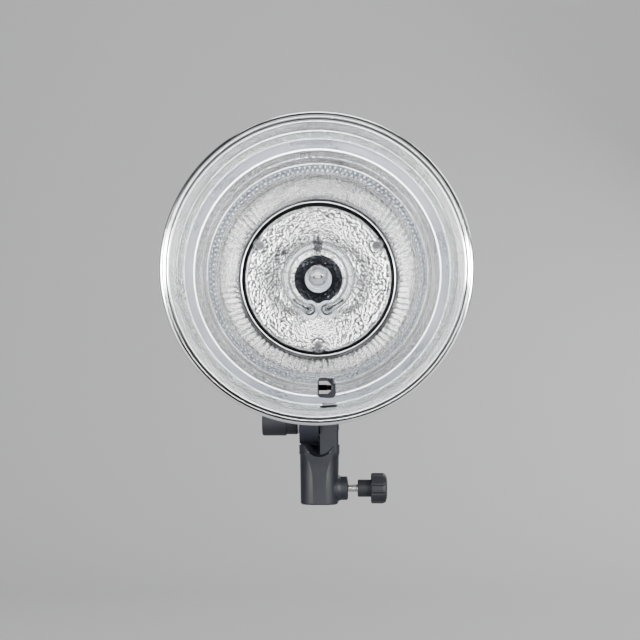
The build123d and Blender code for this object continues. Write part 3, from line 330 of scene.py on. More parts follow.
finishes = {
    "spun_bright": reflector_finish("spun_bright", (0.93, 0.935, 0.94), 0.14),
    "spun_satin": reflector_finish("spun_satin", (0.56, 0.59, 0.66), 0.28, 0.00006),
    "pebbled": reflector_finish("pebbled", (0.55, 0.6, 0.58), 0.26),
    "beaded": reflector_finish("beaded", (0.55, 0.59, 0.66), 0.15),
    "groove": reflector_finish("groove", (0.08, 0.085, 0.09), 0.4),
    "fluted": reflector_finish("fluted", (0.74, 0.74, 0.73), 0.08),
    "hammered": new_material("hammered", (0.93, 0.93, 0.93), 0.2, 1.0),
    # Near-black metal for the lamp well: a painted reflection, standing for the dark surroundings near the
    # camera that the plate's middle mirrors.
    "dish_painted_dark_reflection": new_material("dish_painted_dark_reflection", (0.05, 0.052, 0.058), 0.3, 1.0),
    "bracket": moulded("bracket", (0.005, 0.006, 0.0085), 0.5, 1100),
    "knob": moulded("knob", (0.005, 0.0055, 0.0075), 0.5, 1300),
    "case_paint": coated("case_paint", (0.045, 0.048, 0.056)),
    "arm_paint": coated("arm_paint", (0.007, 0.008, 0.011)),
    "frame_plastic": moulded("frame_plastic", (0.016, 0.017, 0.02), 0.5, 900),
    "panel_plastic": moulded("panel_plastic", (0.028, 0.03, 0.036), 0.4, 1500, 0.00006),
    "key_plastic": moulded("key_plastic", (0.36, 0.38, 0.41), 0.45, 1400, 0.00006),
    "red_plastic": moulded("red_plastic", (0.5, 0.02, 0.015), 0.32, 1400, 0.00004),
    "black_gloss": moulded("black_gloss", (0.012, 0.012, 0.014), 0.26, 1600, 0.00003),
    "nylon": moulded("nylon", (0.012, 0.012, 0.013), 0.5, 1200),
    "grip": rubber("grip"),
    "steel": turned_metal("steel", (0.6, 0.61, 0.63), 0.28, 1),
    "steel_x": turned_metal("steel_x", (0.6, 0.61, 0.63), 0.28, 0),
    "mount_steel": turned_metal("mount_steel", (0.72, 0.73, 0.75), 0.2, 1),
    "brass": turned_metal("brass", (0.78, 0.57, 0.25), 0.25, 0),
    "nickel": turned_metal("nickel", (0.8, 0.8, 0.8), 0.14, 1),
    "wire": new_material("wire", (0.4, 0.4, 0.42), 0.35, 1.0),
    "tungsten": new_material("tungsten", (0.3, 0.3, 0.32), 0.4, 1.0),
    "ceramic": ceramic("ceramic"),
    "quartz": clear_glass("quartz", (0.96, 0.985, 0.99)),
    "bulb_glass": clear_glass("bulb_glass", (0.98, 0.98, 0.98), 0.01),
    "smoked": clear_glass("smoked", (0.3, 0.32, 0.34), 0.05),
    "sensor": new_material("sensor", (0.5, 0.01, 0.015), 0.12, 0.0, Transmission_Weight=0.55, IOR=1.49),
    "display": new_material("display", (0.006, 0.012, 0.014), 0.25),
    "digits": new_material("digits", (0.1, 0.5, 0.55), 0.4, 0.0, Emission_Strength=2.2),
    "marks": new_material("marks", (0.72, 0.73, 0.74), 0.5),
    "board": moulded("board", (0.01, 0.07, 0.03), 0.4, 700),
    "sleeve": moulded("sleeve", (0.02, 0.035, 0.12), 0.25, 500),
}
for dull in ("bracket", "knob", "arm_paint"):
    shader_inputs(finishes[dull])["Specular IOR Level"].default_value = 0.28
shader_inputs(finishes["digits"])["Emission Color"].default_value = (0.1, 0.75, 0.85, 1)


def dent(material, scale, depth, strength):
    """Irregular hammer marks."""
    dents = pattern(material, "ShaderNodeTexVoronoi", scale, feature="SMOOTH_F1", Smoothness=0.4)
    waves = pattern(material, "ShaderNodeTexNoise", scale * 0.8, Detail=2.0, Distortion=1.5)
    bump(material, dents, depth, strength)
    bump(material, waves, depth * 0.6, strength)
    cloud = pattern(material, "ShaderNodeTexNoise", 45, Detail=6.0)
    vary(material, "Roughness", cloud, 0.14, 0.28)


dent(finishes["hammered"], 620, 0.0006, 0.6)
dent(finishes["dish_painted_dark_reflection"], 560, 0.0009, 0.8)
dent(finishes["pebbled"], 900, 0.0004, 0.7)
scratch = pattern(finishes["wire"], "ShaderNodeTexNoise", 900, Detail=3.0)
vary(finishes["wire"], "Roughness", scratch, 0.25, 0.5)
# Noise darkens the tungsten finish to near black, partly as soot and partly as painted shade, so that the
# lamp's posts show as dark lines inside the bulb.
soot_and_painted_shade = pattern(finishes["tungsten"], "ShaderNodeTexNoise", 700, Detail=3.0)
vary(finishes["tungsten"], "Base Color", soot_and_painted_shade, (0.03, 0.03, 0.034), (0.16, 0.16, 0.17))

NODE_FINISH = {
    "bracket": ["stand_socket"],
    "knob": ["stand_clamp_knob", "tilt_lever", "umbrella_screw", "mount_latch", "control_dial", "fan_rotor"],
    "arm_paint": ["tilt_arm"],
    "case_paint": ["housing_upper", "housing_lower"],
    "frame_plastic": ["front_bezel", "rear_frame", "carry_handle", "bulkhead", "fan_frame"],
    "grip": ["handle_grip", "friction_washer"],
    "panel_plastic": ["rear_panel"],
    "key_plastic": ["lamp_button", "sound_button", "slave_button"],
    "red_plastic": ["test_button"],
    "black_gloss": ["mains_inlet", "fuse_drawer", "power_rocker"],
    "nylon": ["umbrella_screw_tip"],
    "steel": ["front_screws", "panel_screws", "collar_rivets", "encoder_plunger"],
    "steel_x": ["tilt_screw", "tilt_nut", "lever_retaining_screw", "lever_spring", "stand_clamp_screw",
                "casing_screws"],
    "mount_steel": ["mount_ring", "reflector_collar"],
    "brass": ["clamp_insert", "stand_clamp_pad"],
    "nickel": ["sync_jack", "inlet_pins", "tube_electrodes"],
    "ceramic": ["tube_socket", "lamp_holder", "lamp_base"],
    "quartz": ["flash_tube"],
    "bulb_glass": ["lamp_bulb"],
    "smoked": ["display_window"],
    "sensor": ["slave_sensor"],
    "display": ["display_module"],
    "board": ["control_board", "power_board"],
    "sleeve": ["flash_capacitors", "trigger_transformer"],
    # The lamp well takes the near-black finish that paints a dark reflection into its colour.
    "dish_painted_dark_reflection": ["lamp_well"],
    "hammered": ["reflector_plate"],
    "wire": ["lamp_filament", "trigger_wire"],
    "spun_bright": ["reflector_bowl"],
}
EDGE = 0.00025  # how far the edges of the CAD pieces are rounded
SHARP = {"lever_spring", "flash_tube", "lamp_bulb", "lamp_filament", "trigger_wire"}


def finish_nodes():
    """Gives every CAD node its material, and soft edges where it is moulded or machined."""
    for finish, names in NODE_FINISH.items():
        for name in names:
            obj = nodes[name]
            obj.data.materials.clear()
            obj.data.materials.append(finishes[finish])
            if name not in SHARP:
                soften(obj, EDGE)


def soften(obj, width):
    """Rounds an object's hard edges a little, so that they catch the light, and keeps its flats flat."""
    weld = obj.modifiers.new("weld", "WELD")
    weld.merge_threshold = 1e-6
    bevel = obj.modifiers.new("bevel", "BEVEL")
    bevel.width = width
    bevel.segments = 2
    bevel.limit_method = "ANGLE"
    bevel.angle_limit = radians(40)
    bevel.use_clamp_overlap = True
    even = obj.modifiers.new("even", "WEIGHTED_NORMAL")
    even.keep_sharp = True


# ---------------------------------------------------------------- mesh helpers
def add_mesh(name, points, faces, finish, body, smooth=True):
    """A mesh piece that rides on a body."""
    mesh = bpy.data.meshes.new(name)
    mesh.from_pydata([tuple(p) for p in points], [], faces)
    mesh.materials.append(finishes[finish])
    if smooth:
        mesh.shade_smooth()
    obj = bpy.data.objects.new(name, mesh)
    bpy.context.scene.collection.objects.link(obj)
    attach(obj, body)
    return obj


def lattice_faces(rows, columns, close_rows=False):
    """Quads of a grid whose columns wrap round, and whose rows wrap too where asked."""
    faces = []
    for i in range(rows if close_rows else rows - 1):
        for j in range(columns):
            k, m = (i + 1) % rows, (j + 1) % columns
            faces.append((i * columns + j, i * columns + m, k * columns + m, k * columns + j))
    return faces


def add_wire(name, points, radius, finish, body, closed=False):
    """A round wire along a smooth line."""
    data = bpy.data.curves.new(name, "CURVE")
    data.dimensions = "3D"
    data.bevel_depth = radius
    data.bevel_resolution = 3
    data.use_fill_caps = True
    line = data.splines.new("NURBS")
    line.points.add(len(points) - 1)
    for point, place in zip(line.points, points):
        point.co = (*place, 1)
    line.order_u = 3
    line.use_cyclic_u = closed
    line.use_endpoint_u = not closed
    line.resolution_u = 4
    data.materials.append(finishes[finish])
    obj = bpy.data.objects.new(name, data)
    bpy.context.scene.collection.objects.link(obj)
    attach(obj, body)
    return obj


# ---------------------------------------------------------------- reflector bowl
FLUTED_FROM, FLUTED_TO = 51.0, 61.3  # the flutes' inner and outer radius; all these are in millimetres
BOWL_LINE = [(FLUTED_FROM, 106.3), (55.4, 88.0), (FLUTED_TO, 67.0), (67.3, 55.5), (73.9, 42.0),
             (79.0, 31.0), (82.6, 20.0), (85.6, 6.0)]  # the wall's inner radius and depth behind the rim
BOWL_STEP = [(85.8, 5.4), (86.4, 4.4), (87.1, 4.4), (87.5, 5.6), (88.0, 5.6), (88.1, 3.0)]  # seat and groove
GROOVE_R = 87.0
FLUTES, FLUTE_LIFT = 96, 0.8
BEADS, BEAD_ROWS, BEAD_HALF, BEAD_LIFT = 132, (63.2, 65.4), 1.15, 0.85
RIPPLED_FROM, RIPPLED_TO, RIPPLE_LIFT = 70.3, 73.8, 0.22
RIDGE_HALF, RIDGE_LIFT = 0.3, 0.4
BANDS = [(FLUTED_TO, "fluted"), (63.0, "spun_bright"), (66.6, "beaded"), (70.2, "spun_bright"),
         (73.9, "spun_bright"), (79.0, "spun_satin"), (82.3, "pebbled"), (99.0, "spun_bright")]
RIDGES = [61.6, 66.9, 70.2, 73.9, 79.0, 82.3]
SHEET = 0.0009  # the sheet's thickness, in metres
ROLL_R = 0.0016  # the rolled rim's own radius, in metres
ROLL_START, ROLL_SWEEP, ROLL_STEPS = 150, 270, 14  # degrees, and rings round the roll


def smooth_line(points, steps):
    """A Catmull-Rom line through points, with steps samples on each span."""
    before, after = 2 * np.array(points[0]) - points[1], 2 * np.array(points[-1]) - points[-2]
    ends = [before, *map(np.array, points), after]
    line = []
    for n in range(1, len(ends) - 2):
        a, b, c, d = ends[n - 1:n + 3]
        for step in range(steps):
            t = step / steps
            line.append(0.5 * (2 * b + (c - a) * t + (2 * a - 5 * b + 4 * c - d) * t * t
                               + (3 * b - a - 3 * c + d) * t * t * t))
    line.append(ends[-2])
    return np.array(line)


def relief(radius, angle):
    """How far the bowl's wall stands in from its smooth line, in millimetres, at a radius and angle."""
    depth = np.zeros_like(angle)
    flutes = np.abs(np.cos(angle * FLUTES / 2))
    if radius < FLUTED_TO:
        fade = min(1.0, (radius - FLUTED_FROM) / 1.5, (FLUTED_TO - radius) / 0.8)
        depth += FLUTE_LIFT * fade * flutes
        depth += 0.16 * fade * np.sin(angle * 17 + radius) * np.sin(angle * 7)
    for row, centre in enumerate(BEAD_ROWS):
        across = (radius - centre) / BEAD_HALF
        if abs(across) < 1:
            along = np.cos(angle * BEADS + row * pi)
            depth += BEAD_LIFT * (1 - across**2) * np.clip(along, 0, 1)
    if RIPPLED_FROM < radius < RIPPLED_TO:
        depth += RIPPLE_LIFT * flutes * min(1, RIPPLED_TO - radius, radius - RIPPLED_FROM)
    for ridge in RIDGES:
        depth += RIDGE_LIFT * np.exp(-(((radius - ridge) / RIDGE_HALF) ** 2))
    return depth


def bowl_mesh():
    """The spun bowl: a fluted, beaded and banded inner face, a smooth back and the rolled rim."""
    columns = 720
    angles = np.linspace(0, 2 * pi, columns, endpoint=False)
    inner = [tuple(p) for p in smooth_line(BOWL_LINE, 22)]
    rings, kinds = [], []
    for radius, depth in inner:
        rings.append((radius - relief(radius, angles), np.full(columns, depth)))
        kinds.append(next(kind for limit, kind in BANDS if radius <= limit + 0.001))
    for radius, depth in BOWL_STEP:
        rings.append((np.full(columns, radius), np.full(columns, depth)))
        kinds.append("groove" if radius > GROOVE_R else "spun_bright")
    centre, roll = (RIM_R - ROLL_R) / MM, ROLL_R / MM
    for step in range(ROLL_STEPS + 1):
        turn = radians(ROLL_START - ROLL_SWEEP / ROLL_STEPS * step)
        rings.append((np.full(columns, centre + roll * cos(turn)), np.full(columns, roll - roll * sin(turn))))
        kinds.append("spun_bright")
    for radius, depth in reversed(smooth_line(BOWL_LINE[:-1] + [(84.6, 10.0)], 6)):
        rings.append((np.full(columns, radius + SHEET / MM), np.full(columns, depth)))
        kinds.append("spun_bright")
    radii = np.array([r for r, d in rings]) * MM
    depths = np.array([d for r, d in rings]) * MM
    points = np.stack([radii * np.cos(angles), RIM_Y + depths, AXIS_Z + radii * np.sin(angles)], axis=-1)
    faces = lattice_faces(len(rings), columns, True)
    bowl = add_mesh("bowl", points.reshape(-1, 3), faces, "spun_bright", "reflector")
    order = ["spun_bright", "spun_satin", "pebbled", "beaded", "fluted", "groove"]
    bowl.data.materials.clear()
    for kind in order:
        bowl.data.materials.append(finishes[kind])
    index = np.repeat([order.index(kind) for kind in kinds], columns)
    bowl.data.polygons.foreach_set("material_index", index.astype(np.int32))
    return bowl


def rounded_bar(low, high, axis, radius):
    """A bar between two corners, rounded along one axis, to cut with."""
    mesh = bpy.data.meshes.new("cutter")
    work = bmesh.new()
    bmesh.ops.create_cube(work, size=1)
    size, centre = Vector(high) - Vector(low), (Vector(high) + Vector(low)) / 2
    bmesh.ops.scale(work, vec=size, verts=work.verts)
    bmesh.ops.translate(work, vec=centre, verts=work.verts)
    long_edges = [e for e in work.edges if abs((e.verts[0].co - e.verts[1].co)[axis]) > size[axis] * 0.9]
    bmesh.ops.bevel(work, geom=long_edges, offset=radius, segments=6, profile=0.5, affect="EDGES")
    work.to_mesh(mesh)
    work.free()
    cutter = bpy.data.objects.new("cutter", mesh)
    bpy.context.scene.collection.objects.link(cutter)
    return cutter


def cut(obj, cutters):
    """Cuts the cutters out of a mesh object, and removes them."""
    for cutter in cutters:
        modifier = obj.modifiers.new("cut", "BOOLEAN")
        modifier.object = cutter
        modifier.operation = "DIFFERENCE"
        modifier.solver = "EXACT"
    bpy.context.view_layer.update()
    shape = obj.evaluated_get(bpy.context.evaluated_depsgraph_get())
    mesh = bpy.data.meshes.new_from_object(shape)
    obj.modifiers.clear()
    obj.data = mesh
    for cutter in cutters:
        bpy.data.objects.remove(cutter)


TIP_TO_OPENING = 0.0029  # from the umbrella screw's closed tip back to the opening's middle
OPENING_RISE = 0.0008  # of the opening's middle over that screw


def make_reflector():
    """The reflector's bowl, with the umbrella's opening and the slot near its rim."""
    bowl = bowl_mesh()
    opening_x, opening_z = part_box("umbrella_screw_tip")[1][0] - TIP_TO_OPENING, holder_z + OPENING_RISE
    half_w, half_h, corner = 5.5 * MM, 6 * MM, 2.5 * MM
    opening = rounded_bar((opening_x - half_w, RIM_Y + 0.03, opening_z - half_h),
                          (opening_x + half_w, RIM_Y + 0.095, opening_z + half_h), 1, corner)
    slot_x, slot_y, slot_half = 7 * MM, RIM_Y + 28 * MM, 3 * MM
    slot = rounded_bar((slot_x - half_w, slot_y - slot_half, AXIS_Z - 0.09),
                       (slot_x + half_w, slot_y + slot_half, AXIS_Z - 0.07), 2, 1.5 * MM)
    cut(bowl, [opening, slot])
    bowl.data.shade_smooth()
    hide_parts("reflector_bowl")


# ---------------------------------------------------------------- hammered plate
PLATE_BOSS_R = 42.8 * MM  # from the axis to the bosses round the plate's screws
BOSS_ANGLES = (30, 150, 270)
BOSS_R, BOSS_SLOPE, BOSS_LIFT = 5.4 * MM, 0.7 * MM, 0.0009
PLATE_HOLE_R, DISH = 15.5 * MM, 2.6 * MM  # the hole round the lamp, and how far the plate dips to it
DENTS, DENT_R, DENT_DEPTH = 5200, (0.55, 1.2), 0.2  # radii in millimetres, depth as a share of radius


def hammered_plate():
    """The dished plate, beaten all over with small overlapping dents."""
    outer, inner = plate_high.x, PLATE_HOLE_R
    front, well = plate_low.y, plate_low.y + DISH
    rows, columns = 130, 760
    share = np.linspace(0, 1, rows)[:, None]
    angles = np.linspace(0, 2 * pi, columns, endpoint=False)[None, :]
    radii = inner + (outer - 0.0012 - inner) * share
    x, z = radii * np.cos(angles), radii * np.sin(angles)
    y = well + (front - well) * share + 0 * angles
    seeds = np.random.default_rng(7).uniform(-outer, outer, (DENTS, 2))
    sizes = np.random.default_rng(8).uniform(*DENT_R, DENTS) * MM
    dents = np.zeros_like(x)
    for (sx, sz), size in zip(seeds, sizes):
        near = ((x - sx) ** 2 + (z - sz) ** 2) / size**2
        dents = np.maximum(dents, (1 - np.clip(near, 0, 1)) * size * DENT_DEPTH)
    y = y + dents * np.clip((outer - 0.0018 - radii) / MM, 0, 1)
    for angle in BOSS_ANGLES:
        boss = PLATE_BOSS_R * cos(radians(angle)), PLATE_BOSS_R * sin(radians(angle))
        near = np.hypot(x - boss[0], z - boss[1])
        y = y - BOSS_LIFT * np.clip((BOSS_R - near) / BOSS_SLOPE, 0, 1)
    points = np.stack([x, y, AXIS_Z + z], axis=-1)
    rim = [(outer - 0.0008, front + 0.0001), (outer - 0.0002, front + 0.0004), (outer, front + 0.001),
           (outer, plate_high.y)]
    edge = [np.stack([r * np.cos(angles[0]), np.full(columns, d), AXIS_Z + r * np.sin(angles[0])], axis=-1)
            for r, d in rim]
    points = np.concatenate([points, np.array(edge)])
    plate = add_mesh("hammered_plate", points.reshape(-1, 3), lattice_faces(rows + len(rim), columns),
                     "hammered", "head")
    solid = plate.modifiers.new("sheet", "SOLIDIFY")
    solid.thickness = 0.0006
    solid.offset = -1
    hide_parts("reflector_plate")


# ---------------------------------------------------------------- flash tube
RING_R = 20.5 * MM
GLASS_R = (tube_high.x - tube_low.x) / 2 - RING_R
SKIN_R, BORE_R = 2.95 * MM, 2.1 * MM
RING_Y = tube_low.y + 3.0 * MM
LEG_ANGLE = 16.0  # degrees from straight down to each leg
ELECTRODE_R, ELECTRODE_TIP_R = 0.00075, 0.0013


def tube_line():
    """The glass tube's centre line: up one leg, round the ring and down the other leg."""
    line = []
    start, end = -90 + LEG_ANGLE, 270 - LEG_ANGLE
    leg = tube_high.y
    first, last = on_axis(RING_R, start, RING_Y), on_axis(RING_R, end, RING_Y)
    bend = 3.2 * MM
    line += [Vector((first.x, leg, first.z)), Vector((first.x, RING_Y + bend, first.z))]
    line += [on_axis(RING_R, start + 2, RING_Y + bend * 0.35)]
    line += [on_axis(RING_R, start + (end - start) * n / 60, RING_Y) for n in range(2, 59)]
    line += [on_axis(RING_R, end - 2, RING_Y + bend * 0.35)]
    line += [Vector((last.x, RING_Y + bend, last.z)), Vector((last.x, leg, last.z))]
    return line


def tube_shell(line, radius, sides=28, inward=False):
    """Points and faces of a round skin along a line."""
    points, side = [], Vector((0, 1, 0)).cross((line[1] - line[0]).normalized())
    if side.length < 0.1:
        side = Vector((1, 0, 0))
    for n, place in enumerate(line):
        ahead = (line[min(n + 1, len(line) - 1)] - line[max(n - 1, 0)]).normalized()
        side = (side - ahead * side.dot(ahead)).normalized()
        up = ahead.cross(side)
        points += [place + side * radius * cos(t) + up * radius * sin(t) for t in around(sides)]
    faces = lattice_faces(len(line), sides)
    if inward:
        faces = [face[::-1] for face in faces]
    return points, faces


def make_tube():
    """The ring tube as real thin glass, with electrodes in its legs."""
    line = tube_line()
    points, faces = tube_shell(line, SKIN_R)
    bore, bore_faces = tube_shell(line, BORE_R, inward=True)
    shift = len(points)
    faces += [tuple(n + shift for n in face) for face in bore_faces]
    glass = add_mesh("tube_glass", points + bore, faces, "quartz", "tube")
    glass.data.update()
    work = bmesh.new()
    work.from_mesh(glass.data)
    bmesh.ops.bridge_loops(work, edges=[e for e in work.edges if e.is_boundary and e.verts[0].co.x < 0])
    bmesh.ops.bridge_loops(work, edges=[e for e in work.edges if e.is_boundary and e.verts[0].co.x > 0])
    bmesh.ops.recalc_face_normals(work, faces=work.faces)
    work.to_mesh(glass.data)
    work.free()
    glass.data.shade_smooth()
    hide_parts("flash_tube")
    for side, near_end in ((0, line[:8]), (1, line[:-9:-1])):
        path = [near_end[0], near_end[1], near_end[2], near_end[4], near_end[6]]
        add_wire(f"electrode_{side}", path, ELECTRODE_R, "tungsten", "tube")
        add_wire(f"electrode_tip_{side}", near_end[6:8], ELECTRODE_TIP_R, "tungsten", "tube")


BAND_ANGLES = (-32, 2, 39, 78, 102, 143, 171, 203)  # degrees round the ring
LEAD_FOOT, LEAD_RISE, LEAD_TURNS, LEAD_TOP = -0.0046, 0.0102, 4.5, 0.0053
COIL_HALF, COIL_TURNS, COIL_POINTS = 0.0028, 5, 14


def make_trigger_wire():
    """The ignition wire: bands round the glass, a wire that joins them, and the twisted lead at the top."""
    wrap = GLASS_R + 0.00035
    for n, angle in enumerate(BAND_ANGLES):
        centre = on_axis(RING_R, angle, RING_Y)
        out = Vector((cos(radians(angle)), 0, sin(radians(angle))))
        loop = [centre + (out * cos(t) + Vector((0, 1, 0)) * sin(t)) * wrap for t in around(12)]
        add_wire(f"band_{n}", loop, 0.00022, "wire", "tube", closed=True)
        tail = [centre + out * (wrap + 0.0002), centre + out * (wrap + 0.0009) + Vector((0, -0.0004, 0)),
                centre + out * (wrap + 0.0013) + Vector((0, 0.0003, 0))]
        add_wire(f"tail_{n}", tail, 0.00018, "wire", "tube")
    back = [on_axis(RING_R + 0.0022, angle, RING_Y + 0.0026) for angle in range(-34, 206, 6)]
    add_wire("joining_wire", back, 0.0002, "wire", "tube")
    top = on_axis(RING_R, 90, RING_Y)
    for strand in range(2):
        twist = []
        for share in [n / 39 for n in range(40)]:
            height = LEAD_FOOT + LEAD_RISE * share
            turn = 2 * pi * LEAD_TURNS * share + pi * strand
            spread = 0.00045 + 0.0011 * (1 - share) ** 3
            y = -GLASS_R - 0.0002 + 0.0022 * share
            twist.append(top + Vector((spread * cos(turn), y + spread * sin(turn) * 0.6, height)))
        twist += [top + Vector((0, back_y, LEAD_TOP)) for back_y in (0.004, 0.012, 0.0235)]
        add_wire(f"lead_{strand}", twist, 0.0006, "tungsten", "tube")
    coil, last = [], COIL_TURNS * COIL_POINTS
    for n in range(last + 1):
        turn = 2 * pi * n / COIL_POINTS
        coil.append(top + Vector((-COIL_HALF + 2 * COIL_HALF * n / last, sin(turn) * wrap, cos(turn) * wrap)))
    add_wire("top_coil", coil, 0.00034, "tungsten", "tube")
    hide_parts("trigger_wire")


# ---------------------------------------------------------------- modelling lamp
POST_X, POST_R = 0.0026, 0.00035
FILAMENT_HALF, FILAMENT_R, FILAMENT_WIRE_R = 0.0024, 0.0009, 0.00013
FILAMENT_TURNS, FILAMENT_POINTS = 11, 10
PINCH_X, PINCH_Z = 0.0042, 0.0012  # half its width and half its thickness


def make_filament():
    """The lamp's molybdenum supports and its coiled filament."""
    foot, tip = base_low.y, bulb_low.y + 0.012
    for n, x in enumerate((-POST_X, POST_X)):
        post = [(x, foot, AXIS_Z), (x, (foot + tip) / 2, AXIS_Z),
                (x * 1.1, tip + 0.002, AXIS_Z), (x * 0.9, tip, AXIS_Z)]
        # The posts take the dark tungsten finish as painted shade, for the dark lines inside the bulb.
        add_wire(f"filament_post_{n}", post, POST_R, "tungsten", "modelling_lamp")
    coil, last = [], FILAMENT_TURNS * FILAMENT_POINTS
    for n in range(last + 1):
        turn = 2 * pi * n / FILAMENT_POINTS
        x = -FILAMENT_HALF + 2 * FILAMENT_HALF * n / last
        coil.append((x, tip + FILAMENT_R * cos(turn), AXIS_Z + FILAMENT_R * sin(turn)))
    piece = add_wire("filament_coil", coil, FILAMENT_WIRE_R, "tungsten", "modelling_lamp")
    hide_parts("lamp_filament")
    pinch = rounded_bar((-PINCH_X, foot - 0.007, AXIS_Z - PINCH_Z),
                        (PINCH_X, foot - 0.0005, AXIS_Z + PINCH_Z), 1, 0.001)
    pinch.name = "lamp_pinch"
    pinch.data.materials.append(finishes["bulb_glass"])
    pinch.data.shade_smooth()
    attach(pinch, "modelling_lamp")


# ---------------------------------------------------------------- control panel
def plate_piece(name, low, high, finish, body, edge=0.0003):
    """A small raised piece with rounded edges."""
    mesh = bpy.data.meshes.new(name)
    work = bmesh.new()
    bmesh.ops.create_cube(work, size=1)
    bmesh.ops.scale(work, vec=Vector(high) - Vector(low), verts=work.verts)
    bmesh.ops.translate(work, vec=(Vector(high) + Vector(low)) / 2, verts=work.verts)
    bmesh.ops.bevel(work, geom=list(work.edges), offset=edge, segments=2, profile=0.5, affect="EDGES")
    work.to_mesh(mesh)
    work.free()
    mesh.materials.append(finishes[finish])
    obj = bpy.data.objects.new(name, mesh)
    bpy.context.scene.collection.objects.link(obj)
    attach(obj, body)
    return obj


SEGMENTS = {"0": "abcdef", "5": "afgcd"}
LIT = 0.86  # the share of each segment's place that it fills
DIGIT_X, DIGIT_H = 0.006, 0.0115  # from the window's middle to a digit's, and a digit's height


def digit(name, x, z, value, height):
    """A seven segment digit on the display, seen from behind the head."""
    width, bar, y = height * 0.5, height * 0.11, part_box("display_module")[1][1]
    half = height / 2
    places = {
        "a": (0, half, width, bar), "g": (0, 0, width, bar), "d": (0, -half, width, bar),
        "f": (-width / 2, half / 2, bar, half), "b": (width / 2, half / 2, bar, half),
        "e": (-width / 2, -half / 2, bar, half), "c": (width / 2, -half / 2, bar, half),
    }
    for part in SEGMENTS[value]:
        across, up, wide, tall = places[part]
        wide, tall = wide * LIT, tall * LIT
        centre = Vector((x - across, y, z + up))
        corner = Vector((wide / 2, 0, tall / 2))
        plate_piece(f"{name}_{part}", centre - corner - Vector((0, 0.0001, 0)),
                    centre + corner + Vector((0, 0.0003, 0)), "digits", "head", 0.0001)


BUTTON_BODY = {"lamp_button": "lamp_key", "sound_button": "sound_key", "slave_button": "slave_key"}
TICKS, TICK_START, TICK_SWEEP = 21, -60, 300  # the dial's scale, in degrees
TICK_R, TICK, LONG_TICK, LONG_EVERY = 0.0166, 0.0012, 0.0021, 5
SUNK, PROUD = 0.00005, 0.00012  # how far a printed mark reaches into its face, and stands out of it


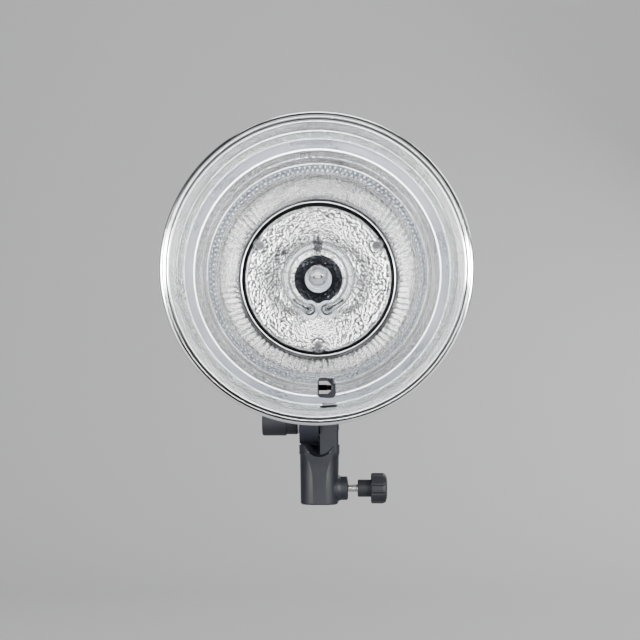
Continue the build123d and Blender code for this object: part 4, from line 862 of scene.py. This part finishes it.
def make_panel_details():
    """The display's figures, the dial's scale and the marks beside the controls."""
    middle_x, middle_z = (window_low.x + window_high.x) / 2, (window_low.z + window_high.z) / 2
    digit("digit_left", middle_x + DIGIT_X, middle_z, "5", DIGIT_H)
    digit("digit_right", middle_x - DIGIT_X, middle_z, "0", DIGIT_H)
    display_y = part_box("display_module")[1][1]
    plate_piece("digit_point", (middle_x - 0.0007, display_y - 0.0001, middle_z - 0.0068),
                (middle_x + 0.0007, display_y + 0.0003, middle_z - 0.0054), "digits", "head", 0.0001)
    for n in range(5):
        x = middle_x + 0.0165
        z = middle_z - 0.006 + 0.003 * n
        plate_piece(f"level_{n}", (x - 0.001 - 0.0006 * n, display_y - 0.0001, z - 0.0008),
                    (x + 0.001, display_y + 0.0003, z + 0.0008), "digits", "head", 0.0001)
    for n in range(TICKS):
        turn = radians(TICK_START + TICK_SWEEP / (TICKS - 1) * n)
        reach = LONG_TICK if n % LONG_EVERY == 0 else TICK
        out = Vector((cos(turn), 0, sin(turn)))
        centre = out * (TICK_R + reach / 2) + Vector((0, PANEL_Y + 0.0001, DIAL_Z))
        tick = plate_piece(f"tick_{n}", (-reach / 2, -0.0001, -0.00022), (reach / 2, 0.0001, 0.00022),
                           "marks", "head", SUNK)
        tick.data.transform(Matrix.Translation(centre) @ Matrix.Rotation(-turn, 4, "Y"))
    for name, body in BUTTON_BODY.items():
        low, high = (Vector(c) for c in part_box(name))
        centre = (low + high) / 2
        plate_piece(f"{name}_mark", (centre.x - 0.0022, high.y - SUNK, centre.z - 0.0004),
                    (centre.x + 0.0022, high.y + PROUD, centre.z + 0.0004), "marks", body, SUNK)
        plate_piece(f"{name}_line", (low.x + 0.001, PANEL_Y - SUNK, high.z + 0.0004),
                    (high.x - 0.001, PANEL_Y + PROUD, high.z + 0.0008), "marks", "head", SUNK)
    dial_x = middle("control_dial").x
    plate_piece("dial_pointer", (dial_x - 0.0006, dial_high.y - 0.0011, DIAL_Z + 0.0062),
                (dial_x + 0.0006, dial_high.y - 0.0006, DIAL_Z + 0.0104), "marks", "dial", 0.0002)
    rocker_low, rocker_high = (Vector(c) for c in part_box("power_rocker"))
    centre = (rocker_low + rocker_high) / 2
    ring_r, ring_z = 0.0016, centre.z - 0.0046
    outline = [(centre.x + ring_r * cos(t), rocker_high.y - 0.0003, ring_z + ring_r * sin(t))
               for t in around(16)]
    add_wire("rocker_ring", outline, 0.0002, "marks", "rocker", closed=True)


# ---------------------------------------------------------------- bracket details
THREAD_START, THREAD_PITCH, THREAD_POINTS = 0.0202, 0.0008, 12  # along X; points in each turn
MARK_R, BOSS_MARK_R = 0.0011, 0.0047


def thread(name, node, pitch, body, first):
    """The crests of a screw thread that lies along X, round a CAD stud."""
    low, high = (Vector(corner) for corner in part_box(node))
    radius, centre = (high.z - low.z) / 2, (low + high) / 2
    crest = []
    for n in range(int((high.x - first) / pitch) * THREAD_POINTS):
        turn = 2 * pi * n / THREAD_POINTS
        crest.append(Vector((first + pitch * n / THREAD_POINTS, centre.y + radius * sin(turn),
                             centre.z + radius * cos(turn))))
    add_wire(name, crest, 0.0002, "steel_x", body)


def plate_mark(name, x, z, radius, y=plate_low.y + 0.0012):
    """A dark outline on the hammered plate, at a place from its middle."""
    ring = [Vector((x + radius * cos(t), y, AXIS_Z + z + radius * sin(t))) for t in around(14)]
    add_wire(name, ring, 0.0005, "tungsten", "head", closed=True)


# ---------------------------------------------------------------- the whole
add_camera()
add_studio()
finish_nodes()
make_reflector()
hammered_plate()
make_tube()
make_trigger_wire()
make_filament()
make_panel_details()
thread("clamp_thread", "stand_clamp_screw", THREAD_PITCH, "clamp_knob", THREAD_START)
plate_mark("plate_mark_left", -0.0117, -0.0293, MARK_R)
plate_mark("plate_mark_right", 0.0111, -0.0367, MARK_R)
for boss_angle in BOSS_ANGLES:
    boss = on_axis(PLATE_BOSS_R, boss_angle, 0)
    plate_mark(f"boss_{boss_angle}", boss.x, boss.z - AXIS_Z, BOSS_MARK_R, plate_low.y - 0.0007)
